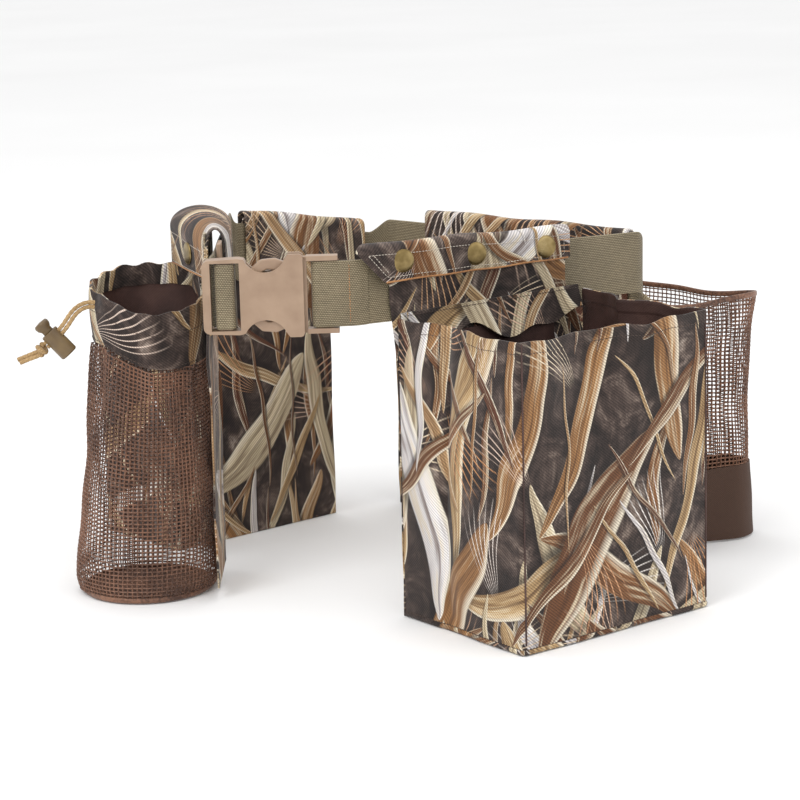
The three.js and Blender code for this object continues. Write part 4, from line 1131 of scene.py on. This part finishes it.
def build_box_pouch(pouch, print_at, seed, rim_pull):
    """An open box pouch: gussets and front panel sewn at the corners, a hem round the mouth, a floor, and
    lining inside. The walls bow out low down, the gussets fold in along a crease, and the mouth sags."""
    name = pouch.name
    base = pouch.local_box(f"{name}_base")
    front = pouch.local_box(f"{name}_front_panel")
    half, depth, height = base[1, 0], -base[0, 1], front[1, 2]
    plan, run = perimeter(half - 0.8, depth - 0.8, 3.0, -1.6, 2.6)
    total = run[-1]
    side = depth - 1.6
    levels = np.concatenate([np.linspace(1.2, height - 12, 70), np.linspace(height - 12, height, 12)[1:]])
    z = np.broadcast_to(levels, (len(plan), len(levels)))
    place_along = run[:, None] + 0 * z
    tangent = unit(np.gradient(plan, axis=0))
    outward = np.stack([tangent[:, 1], -tangent[:, 0]], -1)
    up = z / height
    # Distance from the nearest sewn corner pins the walls there.
    corners = np.array([0, side, total - side, total])
    pinned = np.min(np.abs(run[:, None] - corners), axis=1)[:, None]
    free = ease(pinned, 0, 45)
    bow = 3.2 * free * np.sin(np.pi * np.clip(up, 0, 1)) ** 0.8
    creases = sum(np.exp(-np.abs(place_along - at) / 13) for at in (side * 0.36, total - side * 0.4))
    bow = bow - creases * (6.0 + 8.0 * up ** 1.5) * ease(up, 0, 0.06)
    sag = free * bump_at(place_along, side + rim_pull[0] * (total - 2 * side), rim_pull[2])
    bow = bow - sag * rim_pull[1] * ease(up, 0.45, 1.0)
    bow = bow + free * waves(place_along, z, seed, 85, 1.1) + free * waves(place_along, z, seed + 1, 34, 0.35)
    mouth = ease(z, height - 26, height)
    bow = bow + mouth * free * waves(place_along, 0, seed + 2, 48, 2.2)
    points = np.stack([plan[:, :1] + outward[:, :1] * bow, plan[:, 1:] + outward[:, 1:] * bow, z], -1)
    points[..., 2] += mouth * free * (waves(place_along, 0, seed + 3, 66, 2.0) - 1.6)
    hem = ease(z, height - 10.4, height - 9.8)
    thickness = 1.5 + 1.1 * hem * (1 - 0.75 * ease(z, height - 1.6, height)) - 0.5 * (1 - ease(z, 1, 4))
    uv = np.stack([(run[:, None] + 0 * z) * MM + print_at[0], z * MM + print_at[1]], -1)
    walls = shell(f"{name}_walls", points, thickness, [FINISH["camo"], FINISH["lining"]], uv,
                  place=pouch.place)
    settle(walls, name, "camo_fabric", f"{name}_front_panel", f"{name}_left_gusset", f"{name}_right_gusset")
    build_box_floor(pouch, half, depth)
    # Seams down the two front corners, dark as painted shade in the corners' grooves, and a row of stitches
    # under the mouth's hem and along the foot.
    for label, at in (("left", side), ("right", total - side)):
        column = int(np.argmin(np.abs(run - at)))
        line = points[column, 2:-1] + np.append(outward[column], 0)
        seam_paths = pouch.place(smooth_path(line, 3.0))[None]
        normals = np.broadcast_to(-pouch.inward, seam_paths.shape)
        vertices, faces = tubes(seam_paths, normals, 0.0007, 8)
        seam = make_mesh(f"{name}_{label}_corner_seam", vertices, faces, [FINISH["lining"]],
                         uv=np.stack([vertices[:, 0], vertices[:, 2]], -1))
        settle(seam, name, "camo_fabric")
    foot = np.column_stack([points[:, 1, :2], np.full(len(points), 2.3)])
    binding(f"{name}_foot_roll", name, pouch.place(foot), 0.0034, 0.0040, "camo", "camo_fabric")
    for label, drop in (("mouth", height - 8.2), ("foot", 5.0)):
        row = int(np.argmin(np.abs(levels - drop)))
        step = thickness[:, row:row + 1] / 2 + 0.1
        line = points[:, row] + np.hstack([outward * step, 0 * step])
        stitch_line(f"{name}_{label}_stitching", pouch.place(line[2:-2]), 0.0024, name, "camo_fabric",
                    FINISH["dark thread"])


def build_box_floor(pouch, half, depth):
    """The pouch's floor: a cloth panel with soft corners whose middle lifts a little off the ground."""
    x = np.linspace(-half + 1.2, half - 1.2, 60)[:, None]
    y = np.linspace(-depth + 1.2, -1.6, 46)[None]
    edge = np.minimum(half - np.abs(x), np.minimum(y + depth, -y))
    lift = 0.9 + 0.9 * ease(edge, 2, 30)
    points = np.stack(np.broadcast_arrays(x, y, lift), -1)
    uv = points[..., :2] * MM + 0.31
    piece = shell(f"{pouch.name}_floor", points, 1.5, [FINISH["lining"], FINISH["camo"]], uv,
                  place=pouch.place)
    settle(piece, pouch.name, "camo_fabric", f"{pouch.name}_base")


def build_pocket():
    """The pocket inside the front pouch: a facing stitched across the panel, which gapes in soft folds, over
    a flat pocket of lining cloth."""
    low, high = FRONT.local_box("front_pouch_inner_pocket")
    x = np.linspace(low[0], high[0], 60)[:, None]
    levels = np.linspace(low[2], high[2], 40)[None]
    lower = 1 - ease(levels, high[2] - 40, high[2])
    y = high[1] - 0.6 - 1.2 * lower * np.abs(np.sin(np.pi * x / 62)) + 0 * x
    points = np.stack(np.broadcast_arrays(x, y, levels + 0 * x), -1)
    flat = shell("inner_pocket", points, 1.0, [FINISH["lining"]], arc_uv(points), place=FRONT.place)
    settle(flat, "front_pouch", "lining", "front_pouch_inner_pocket")
    x = np.linspace(-92, 88, 110)[:, None]
    top = high[2] + 20
    depth = 25 + 5 * np.sin(x / 17.0) + 4 * np.sin(x / 9.0 + 1)
    t = np.linspace(0, 1, 24)[None]
    z = top - depth * t + 0 * x
    gape = (5.5 + 3.5 * np.sin(x / 15.0 + 0.6)) * t ** 1.6
    points = np.stack(np.broadcast_arrays(x, -2.1 - gape, z), -1)
    points = points[:, ::-1]
    facing = shell("pocket_facing", points, 1.1, [FINISH["camo"], FINISH["lining"]],
                   arc_uv(points, (0.9, 0.4)), place=FRONT.place)
    settle(facing, "front_pouch", "camo_fabric")
    line = np.array([[v, -2.95, top - 2.4] for v in (-90, 86)])
    stitch_line("pocket_stitching", FRONT.place(line), 0.0022, "front_pouch", "camo_fabric",
                FINISH["dark thread"])


# ---------------------------------------------------------------- nets
def net_threads(grid, radius, ring=False, sides=4):
    """Threads along both directions of a grid of crossings. At each crossing one thread passes over the
    other, half a thread out and half a thread in, in a checkerboard."""
    normals = surface_normals(grid, ring)
    rows, columns = grid.shape[:2]
    over = ((np.arange(rows)[:, None] + np.arange(columns)[None]) % 2 * 2 - 1)[..., None] * radius * 0.45
    upright = grid + normals * over
    level = grid - normals * over
    parts = [tubes(upright, normals, radius, sides)]
    parts.append(tubes(level.transpose(1, 0, 2), normals.transpose(1, 0, 2), radius, sides, closed=ring))
    return join(parts)


def net_piece(name, body, grid, radius, nodes, ring=False, sides=4):
    """A net over a grid of crossings, as a finished piece on its body."""
    vertices, faces = net_threads(grid, radius, ring, sides)
    piece = make_mesh(name, vertices, faces, [FINISH["net"]], sharp=80)
    return settle(piece, body, "net", *nodes)


BAG_PANEL_HALF = 110.0           # from the bag's middle to the panel's edge, where the net begins
BAND_HEIGHT = 57.0


def build_game_bag():
    """The net game bag: one net wall that flares from the panel's edges round two soft corners, a bound rim,
    a close-knit band round its foot and a net floor."""
    look = bpy.context.scene.pouch_belt
    build_back_panel(BAG, (0.55, 0.2), 202, 31)
    net = BAG.local_box("game_bag_net")
    half = BAG_PANEL_HALF
    wide, depth, height = net[1, 0] - 0.8, -net[0, 1] - 0.8, net[1, 2]
    corner = 26.0
    lean = math.atan2(wide - half, depth)
    turn = np.linspace(lean, -math.pi / 2, 16)[:, None]
    right = np.hstack([wide - corner + corner * np.cos(turn), -depth + corner + corner * np.sin(turn)])
    left = right[::-1] * [-1, 1]
    plan = np.vstack([[half - 1.2, -2.4], right, left, [-half + 1.2, -2.4]])[::-1]
    plan = evenly(plan, look.net_pitch / MM)
    run = np.concatenate([[0], np.cumsum(np.linalg.norm(np.diff(plan, axis=0), axis=1))])[:, None]
    levels = np.arange(2.4, height - 1, look.net_pitch / MM)[None]
    tangent = unit(np.gradient(plan, axis=0))
    outward = np.stack([tangent[:, 1], -tangent[:, 0]], -1)
    up = levels / height
    total = run[-1, 0]
    free = ease(np.minimum(run, total - run), 0, 40)
    # The net hangs in upright folds that deepen toward the rim, and it is drawn in a little at mid height.
    folds = 3.2 * np.sin(run / 17.0) * np.sin(run / 41.0 + 1.0) * (0.25 + 0.75 * up)
    inward = 6.0 * np.sin(np.pi * up) * free
    bow = free * folds - inward + free * waves(run, levels, 41, 60, 1.2)
    slump = free * (waves(run, 0, 43, 90, 3.0) - 2.0) * up ** 2
    skew = waves(run, levels, 45, 50, 0.9)
    grid = np.stack([plan[:, :1] + outward[:, :1] * bow + tangent[:, :1] * skew,
                     plan[:, 1:] + outward[:, 1:] * bow + tangent[:, 1:] * skew, levels + slump], -1)
    # The corner beside the front pouch is pulled out wide.
    reach = ease(-grid[..., :1], 40, 150) * ease(-grid[..., 1:2], 2, 45)
    grid = grid + reach * [-19.0, 0, 0] + reach * ease(-grid[..., 1:2], 10, 90) * [0, -9.0, 0]
    middle = len(plan) // 2
    placed = BAG.place(grid)
    net_piece("game_bag_netting_left", "game_bag", placed[:middle + 1], look.net_thread, ["game_bag_net"])
    net_piece("game_bag_netting_right", "game_bag", placed[middle:], look.net_thread, [])
    # The close-knit band: a cloth of the same yarn outside the net's foot.
    rows = int(BAND_HEIGHT / (look.net_pitch / MM)) + 1
    band = grid[:, :rows].copy()
    band[..., :2] += outward[:, None] * 1.0
    band[..., 2] += 7 * np.sin(run / 60.0) * band[..., 2] / 58
    band[:, 0, 2] = 1.4
    piece = shell("game_bag_foot_band", BAG.place(band), 0.0009, [FINISH["close knit"]],
                  uv=arc_uv(band))
    settle(piece, "game_bag", "net")
    binding("game_bag_rim", "game_bag", placed[:, -1], 0.0021, 0.0046)
    floor_plan = np.vstack([plan, plan[:1]])
    t = np.linspace(0, 1, 14)[None, :, None]
    centre = np.array([0, -depth / 2])
    disc = centre + (floor_plan[:, None] - centre) * (1 - 0.985 * t) * 0.992
    floor = np.concatenate([disc, np.full(disc.shape[:2] + (1,), 1.0)], -1)[::-1]
    piece = shell("game_bag_floor", floor, 1.0, [FINISH["close knit"]], uv=floor[..., :2] * MM,
                  place=BAG.place)
    settle(piece, "game_bag", "net", "game_bag_base")


def binding(name, body, line, thick, tall, material="net", slot="net", ring=False):
    """A folded tape over an edge: an oval tube along it, thick across and tall upright."""
    steps, sides = len(line), 14
    turn = np.arange(sides) * TAU / sides
    forward = unit(np.roll(line, -1, 0) - np.roll(line, 1, 0)) if ring else unit(np.gradient(line, axis=0))
    out = unit(np.stack([forward[:, 1], -forward[:, 0], 0 * forward[:, 0]], -1))
    up = np.array([0, 0, 1.0])
    squared = np.sign(np.cos(turn)) * np.abs(np.cos(turn)) ** 0.6
    points = line[:, None] + out[:, None] * squared[None, :, None] * thick / 2
    points = points + up * (np.sin(turn) * tall / 2)[None, :, None]
    index = np.arange(steps * sides).reshape(steps, sides)
    grid = np.hstack([index, index[:, :1]])
    if ring:
        grid = np.vstack([grid, grid[:1]])
    faces = [np.stack([grid[:-1, :-1], grid[1:, :-1], grid[1:, 1:], grid[:-1, 1:]], -1).reshape(-1, 4)]
    if not ring:
        faces += [index[:1], index[-1:, ::-1]]
    uv = np.stack(np.broadcast_arrays(np.arange(steps)[:, None] * 0.002, np.sin(turn)[None] * tall / 2), -1)
    piece = make_mesh(name, points.reshape(-1, 3), faces, [FINISH[material]], uv=uv.reshape(-1, 2), sharp=80)
    return settle(piece, body, slot)


COLLAR_SHIFT = 6.0               # the collar hangs this much nearer the belt than the net's foot


def collar_dip(turn):
    """How far the collar drops, in millimetres, round its circle: it sags on the side nearest the panel."""
    return 5.0 - 19.0 * ease(np.cos(turn - 0.75), -0.1, 1.0) - 3.0 * ease(np.cos(turn - 3.6), 0.2, 1.0)


def build_bottle_pouch():
    """The bottle pouch: a round net on a net floor, hung from a printed collar that the drawstring closes."""
    look = bpy.context.scene.pouch_belt
    build_back_panel(BOTTLE, (1.3, 0.7), 215, 51, half=BOTTLE.local_box("bottle_pouch_back_panel")[1, 0])
    net = BOTTLE.local_box("bottle_pouch_net")
    collar = BOTTLE.local_box("bottle_pouch_collar")
    foot_radius = (net[1, 0] - net[0, 0]) / 2 - 0.5
    neck_radius = (collar[1, 0] - collar[0, 0]) / 2 - 0.7
    centre_y = (net[0, 1] + net[1, 1]) / 2
    seam, rim = 203.0, 250.0
    count = int(TAU * 49 / (look.net_pitch / MM) / 2) * 2
    turn = (np.arange(count) * TAU / count)[:, None]
    levels = np.arange(3.0, seam - 1, look.net_pitch / MM)[None]
    t = np.clip(levels / seam, 0, 1)
    radius = foot_radius + (neck_radius - foot_radius) * ease(t, 0, 1) + 1.5 * np.sin(np.pi * t)
    radius = radius - 3.0 * (1 - ease(levels, 0, 14)) + 0 * turn
    puckers = (0.25 + 0.75 * t) * (1.6 * np.sin(9 * turn + 0.6) + 0.9 * np.sin(17 * turn)) * ease(t, 0.2, 1)
    slack = 2.0 * np.sin(2 * turn + 3 * t) * np.sin(np.pi * t) + waves(turn * 50, levels, 53, 60, 0.8)
    radius = np.minimum(radius + puckers + slack, foot_radius + 1.0)
    x, y = radius * np.cos(turn), radius * np.sin(turn)
    y = y * (1 + 0.09 * (1 - t)) - 5.0 * (1 - t) + COLLAR_SHIFT * t
    lean = (-0.05 * x + collar_dip(turn) * t) * np.clip((levels - 10) / (seam - 10), 0, 1)
    grid = np.stack([x, y + centre_y, levels + lean], -1)
    net_piece("bottle_netting", "bottle_pouch", BOTTLE.place(grid), look.net_thread, ["bottle_pouch_net"],
              ring=True)
    build_collar(neck_radius, centre_y, seam, rim)
    build_bottle_floor(foot_radius - 0.5, centre_y - 4.0)


def build_collar(neck_radius, centre_y, seam, rim):
    """The collar: a tube of printed cloth gathered by the drawstring in its top casing, sewn to the net."""
    steps = 220
    turn = (np.arange(steps) * TAU / steps)[:, None] + math.pi / 2
    t = np.linspace(0, 1, 40)[None]
    gather = ease(t, 0.45, 1.0)
    radius = neck_radius + 0.6 * np.sin(np.pi * t) + 0.9 * gather * np.sin(14 * turn)
    radius = radius + 0.6 * np.sin(5 * turn + 2 * t)
    radius = radius + waves(turn * 45, t * 50, 61, 40, 0.5)
    x, y = radius * np.cos(turn), radius * np.sin(turn)
    low = -0.05 * x + collar_dip(turn)
    high = -0.2 * x + collar_dip(turn) * 0.6
    y = y + COLLAR_SHIFT
    ripple = 0.8 * gather * np.sin(14 * turn + 0.8)
    z = seam + 1.2 + (rim - seam - 2) * t + low * (1 - t) + high * t + ripple
    points = np.stack([x, y + centre_y, z], -1)
    casing = 1.0 * (1 - ease(np.abs(t - 0.8), 0.10, 0.2)) + 0.5 * (1 - ease(t, 0.04, 0.1)) + 0 * turn
    thickness = 1.5 + casing
    uv = np.stack(np.broadcast_arrays(turn * neck_radius * MM + 0.2, t * (rim - seam) * MM + 0.62), -1)
    piece = shell("bottle_collar", points, thickness, [FINISH["camo"], FINISH["lining"]], uv, ring=True,
                  place=BOTTLE.place)
    settle(piece, "bottle_pouch", "camo_fabric", "bottle_pouch_collar")
    # The casing is turned to the inside, so the print shows inside the mouth too.
    inside = points[:, ::-1][:, :14].copy()
    spoke = np.hstack([np.cos(turn), np.sin(turn), 0 * turn])[:, None]
    inside = inside - spoke * (thickness[:, ::-1][:, :14, None] / 2 + 0.4)
    facing = shell("collar_facing", inside, 0.6, [FINISH["camo"]], arc_uv(inside, (0.5, 0.1)), ring=True,
                   place=BOTTLE.place)
    settle(facing, "bottle_pouch", "camo_fabric")
    for label, row in (("casing", 24), ("seam", 2)):
        line = points[:, row]
        spoke = np.hstack([np.cos(turn), np.sin(turn), 0 * turn]) * (thickness[:, row:row + 1] / 2 + 0.1)
        line = np.vstack([line + spoke, (line + spoke)[:1]])
        stitch_line(f"bottle_{label}_stitching", BOTTLE.place(line), 0.0024, "bottle_pouch", "camo_fabric",
                    FINISH["dark thread"])


def build_bottle_floor(radius, centre_y):
    """A round floor of the same net, on a ring where it is sewn to the wall."""
    look = bpy.context.scene.pouch_belt
    pitch = look.net_pitch / MM
    lines = np.arange(-radius + pitch, radius - pitch / 2, pitch)
    chord = np.sqrt(radius ** 2 - lines ** 2)
    t = np.linspace(-1, 1, 30)
    level = 1.15
    across = np.stack(np.broadcast_arrays(lines[:, None], chord[:, None] * t + centre_y, level), -1)
    upright = np.stack(np.broadcast_arrays(chord[:, None] * t, lines[:, None] + centre_y, level - 0.3), -1)
    parts = []
    for paths in (across, upright):
        placed = BOTTLE.place(paths)
        parts.append(tubes(placed, np.broadcast_to([0, 0, 1.0], placed.shape), look.net_thread, 4))
    vertices, faces = join(parts)
    piece = make_mesh("bottle_floor_net", vertices, faces, [FINISH["net"]], sharp=80)
    settle(piece, "bottle_pouch", "net", "bottle_pouch_base")
    turn = np.linspace(0, TAU, 90, endpoint=False)
    ring = np.stack([radius * np.cos(turn), radius * np.sin(turn) + centre_y, np.full(90, 2.5)], -1)
    binding("bottle_foot_seam", "bottle_pouch", BOTTLE.place(ring)[::-1], 0.0024, 0.0040, ring=True)


# ---------------------------------------------------------------- stage
CAMERA_PLACE = (-0.00993, -2.09696, 0.59195)
CAMERA_PITCH = 0.213             # radians below level
CAMERA_ROLL = -0.027
FLOOR_GAP = 0.0005               # metres from the floor up to the pouches' feet


def build_camera():
    """A long lens in front of the buckle, above the belt, looking slightly down and rolled a little."""
    data = bpy.data.cameras.new("camera")
    data.lens = 117.0
    data.clip_end = 50
    camera = bpy.data.objects.new("camera", data)
    bpy.context.scene.collection.objects.link(camera)
    camera.matrix_world = (Matrix.Translation(CAMERA_PLACE)
                           @ Euler((math.pi / 2 - CAMERA_PITCH, 0, 0)).to_matrix().to_4x4()
                           @ Matrix.Rotation(CAMERA_ROLL, 4, "Z"))
    bpy.context.scene.camera = camera


def build_stage():
    """A pale floor under the pouches, a white room light and three soft lamps."""
    points = np.array([[-6.0, -4, 0], [6, -4, 0], [6, 9, 0], [-6, 9, 0]])
    corners = [np.array([[0, 1, 2, 3]])]
    floor = make_mesh("studio_floor", points - [0, 0, FLOOR_GAP], corners, [pale_floor()])
    world = bpy.data.worlds.new("white room")
    bpy.context.scene.world = world
    world.use_nodes = True
    background = world.node_tree.nodes["Background"]
    background.inputs["Color"].default_value = (1, 1, 1, 1)
    background.inputs["Strength"].default_value = 1.0
    lamps = (("key lamp", (-1.4, -1.8, 2.2), 1.4, 30), ("fill lamp", (1.8, -1.6, 1.3), 1.8, 9),
             ("top lamp", (0.1, 0.3, 2.4), 1.8, 14))
    for name, place, size, power in lamps:
        data = bpy.data.lights.new(name, "AREA")
        data.size = size
        data.energy = power
        lamp = bpy.data.objects.new(name, data)
        bpy.context.scene.collection.objects.link(lamp)
        lamp.location = place
        lamp.rotation_euler = (Vector((0, 0, 0.15)) - Vector(place)).to_track_quat("-Z", "Y").to_euler()
    bpy.context.scene.view_settings.view_transform = "Standard"


# ---------------------------------------------------------------- the add-on
class PouchBeltLook(bpy.types.PropertyGroup):
    """The sizes that the building steps read"""
    weave_pitch: bpy.props.FloatProperty(
        name="Weave pitch", description="Distance between twill ridges as drawn", default=0.0019,
        unit="LENGTH")
    rib_pitch: bpy.props.FloatProperty(name="Rib pitch", description="Distance between the webbing's ribs",
                                       default=0.0014, unit="LENGTH")
    net_pitch: bpy.props.FloatProperty(name="Net pitch", description="Distance between net threads",
                                       default=0.0034, unit="LENGTH")
    net_thread: bpy.props.FloatProperty(name="Net thread", description="Radius of a net thread",
                                        default=0.0006, unit="LENGTH")


class POUCHBELT_OT_camera(bpy.types.Operator):
    """Makes the camera"""
    bl_idname = "pouchbelt.camera"
    bl_label = "Camera"

    def execute(self, context):
        build_camera()
        return {"FINISHED"}


class POUCHBELT_OT_drawstring(bpy.types.Operator):
    """Makes the materials, the drawstring's strands, its knot and its cord lock"""
    bl_idname = "pouchbelt.drawstring"
    bl_label = "Drawstring"

    def execute(self, context):
        make_finishes(context.scene.pouch_belt)
        build_drawstring()
        return {"FINISHED"}


class POUCHBELT_OT_webbing(bpy.types.Operator):
    """Makes the waist webbing with its sewn end and adjustable end"""
    bl_idname = "pouchbelt.webbing"
    bl_label = "Webbing"

    def execute(self, context):
        build_belt()
        return {"FINISHED"}


class POUCHBELT_OT_buckle(bpy.types.Operator):
    """Makes the side-release buckle and the webbing keeper"""
    bl_idname = "pouchbelt.buckle"
    bl_label = "Buckle and keeper"

    def execute(self, context):
        build_buckle()
        return {"FINISHED"}


class POUCHBELT_OT_box_pouches(bpy.types.Operator):
    """Makes the two open box pouches with their panels, floors, hems and lining"""
    bl_idname = "pouchbelt.box_pouches"
    bl_label = "Box pouches"

    def execute(self, context):
        build_back_panel(FRONT, (2.13, 0.08), 200, 11, neck_in=17)
        build_box_pouch(FRONT, (0.0, 0.0), 12, (0.36, 14.0, 34.0))
        build_pocket()
        build_back_panel(REAR, (3.4, 0.3), 194, 21)
        build_box_pouch(REAR, (1.7, 0.5), 22, (0.5, 8.0, 40.0))
        return {"FINISHED"}


class POUCHBELT_OT_game_bag(bpy.types.Operator):
    """Makes the net game bag"""
    bl_idname = "pouchbelt.game_bag"
    bl_label = "Game bag"

    def execute(self, context):
        build_game_bag()
        return {"FINISHED"}


class POUCHBELT_OT_bottle_pouch(bpy.types.Operator):
    """Makes the net bottle pouch with its collar"""
    bl_idname = "pouchbelt.bottle_pouch"
    bl_label = "Bottle pouch"

    def execute(self, context):
        build_bottle_pouch()
        return {"FINISHED"}


class POUCHBELT_OT_loops(bpy.types.Operator):
    """Makes each pouch's belt loop and flap as one folded cloth, with its stitching"""
    bl_idname = "pouchbelt.loops"
    bl_label = "Loops and flaps"

    def execute(self, context):
        build_loop(FRONT, (24.5, 19.5), (4.4, 0.1), edge=(17.0, 9.0))
        build_loop(REAR, (24, 24), (5.2, 0.6))
        build_loop(BAG, (24, 24), (6.1, 0.2))
        build_loop(BOTTLE, (33, 33), (7.3, 0.9), BOTTLE_SWING, (6.0, 13.0))
        return {"FINISHED"}


class POUCHBELT_OT_snaps(bpy.types.Operator):
    """Makes the brass snaps"""
    bl_idname = "pouchbelt.snaps"
    bl_label = "Snaps"

    def execute(self, context):
        build_snaps()
        return {"FINISHED"}


class POUCHBELT_OT_stage(bpy.types.Operator):
    """Makes the floor and the lamps"""
    bl_idname = "pouchbelt.stage"
    bl_label = "Stage"

    def execute(self, context):
        build_stage()
        return {"FINISHED"}


OPERATORS = (POUCHBELT_OT_camera, POUCHBELT_OT_drawstring, POUCHBELT_OT_webbing, POUCHBELT_OT_buckle,
             POUCHBELT_OT_box_pouches, POUCHBELT_OT_game_bag, POUCHBELT_OT_bottle_pouch, POUCHBELT_OT_loops,
             POUCHBELT_OT_snaps, POUCHBELT_OT_stage)


class POUCHBELT_PT_panel(bpy.types.Panel):
    """Lists the building steps and the sizes that they use"""
    bl_label = "Pouch belt"
    bl_idname = "POUCHBELT_PT_panel"
    bl_space_type = "VIEW_3D"
    bl_region_type = "UI"
    bl_category = "Pouch belt"

    def draw(self, context):
        look = context.scene.pouch_belt
        for name in look.__annotations__:
            self.layout.prop(look, name)
        for made in OPERATORS:
            self.layout.operator(made.bl_idname)


CLASSES = (PouchBeltLook, *OPERATORS, POUCHBELT_PT_panel)


def register():
    for made in CLASSES:
        bpy.utils.register_class(made)
    bpy.types.Scene.pouch_belt = bpy.props.PointerProperty(type=PouchBeltLook)


def unregister():
    del bpy.types.Scene.pouch_belt
    for made in reversed(CLASSES):
        bpy.utils.unregister_class(made)


def main():
    """Builds everything in order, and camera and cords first."""
    register()
    for made in OPERATORS:
        group, name = made.bl_idname.split(".")
        getattr(getattr(bpy.ops, group), name)()


if __name__ == "__main__":
    main()
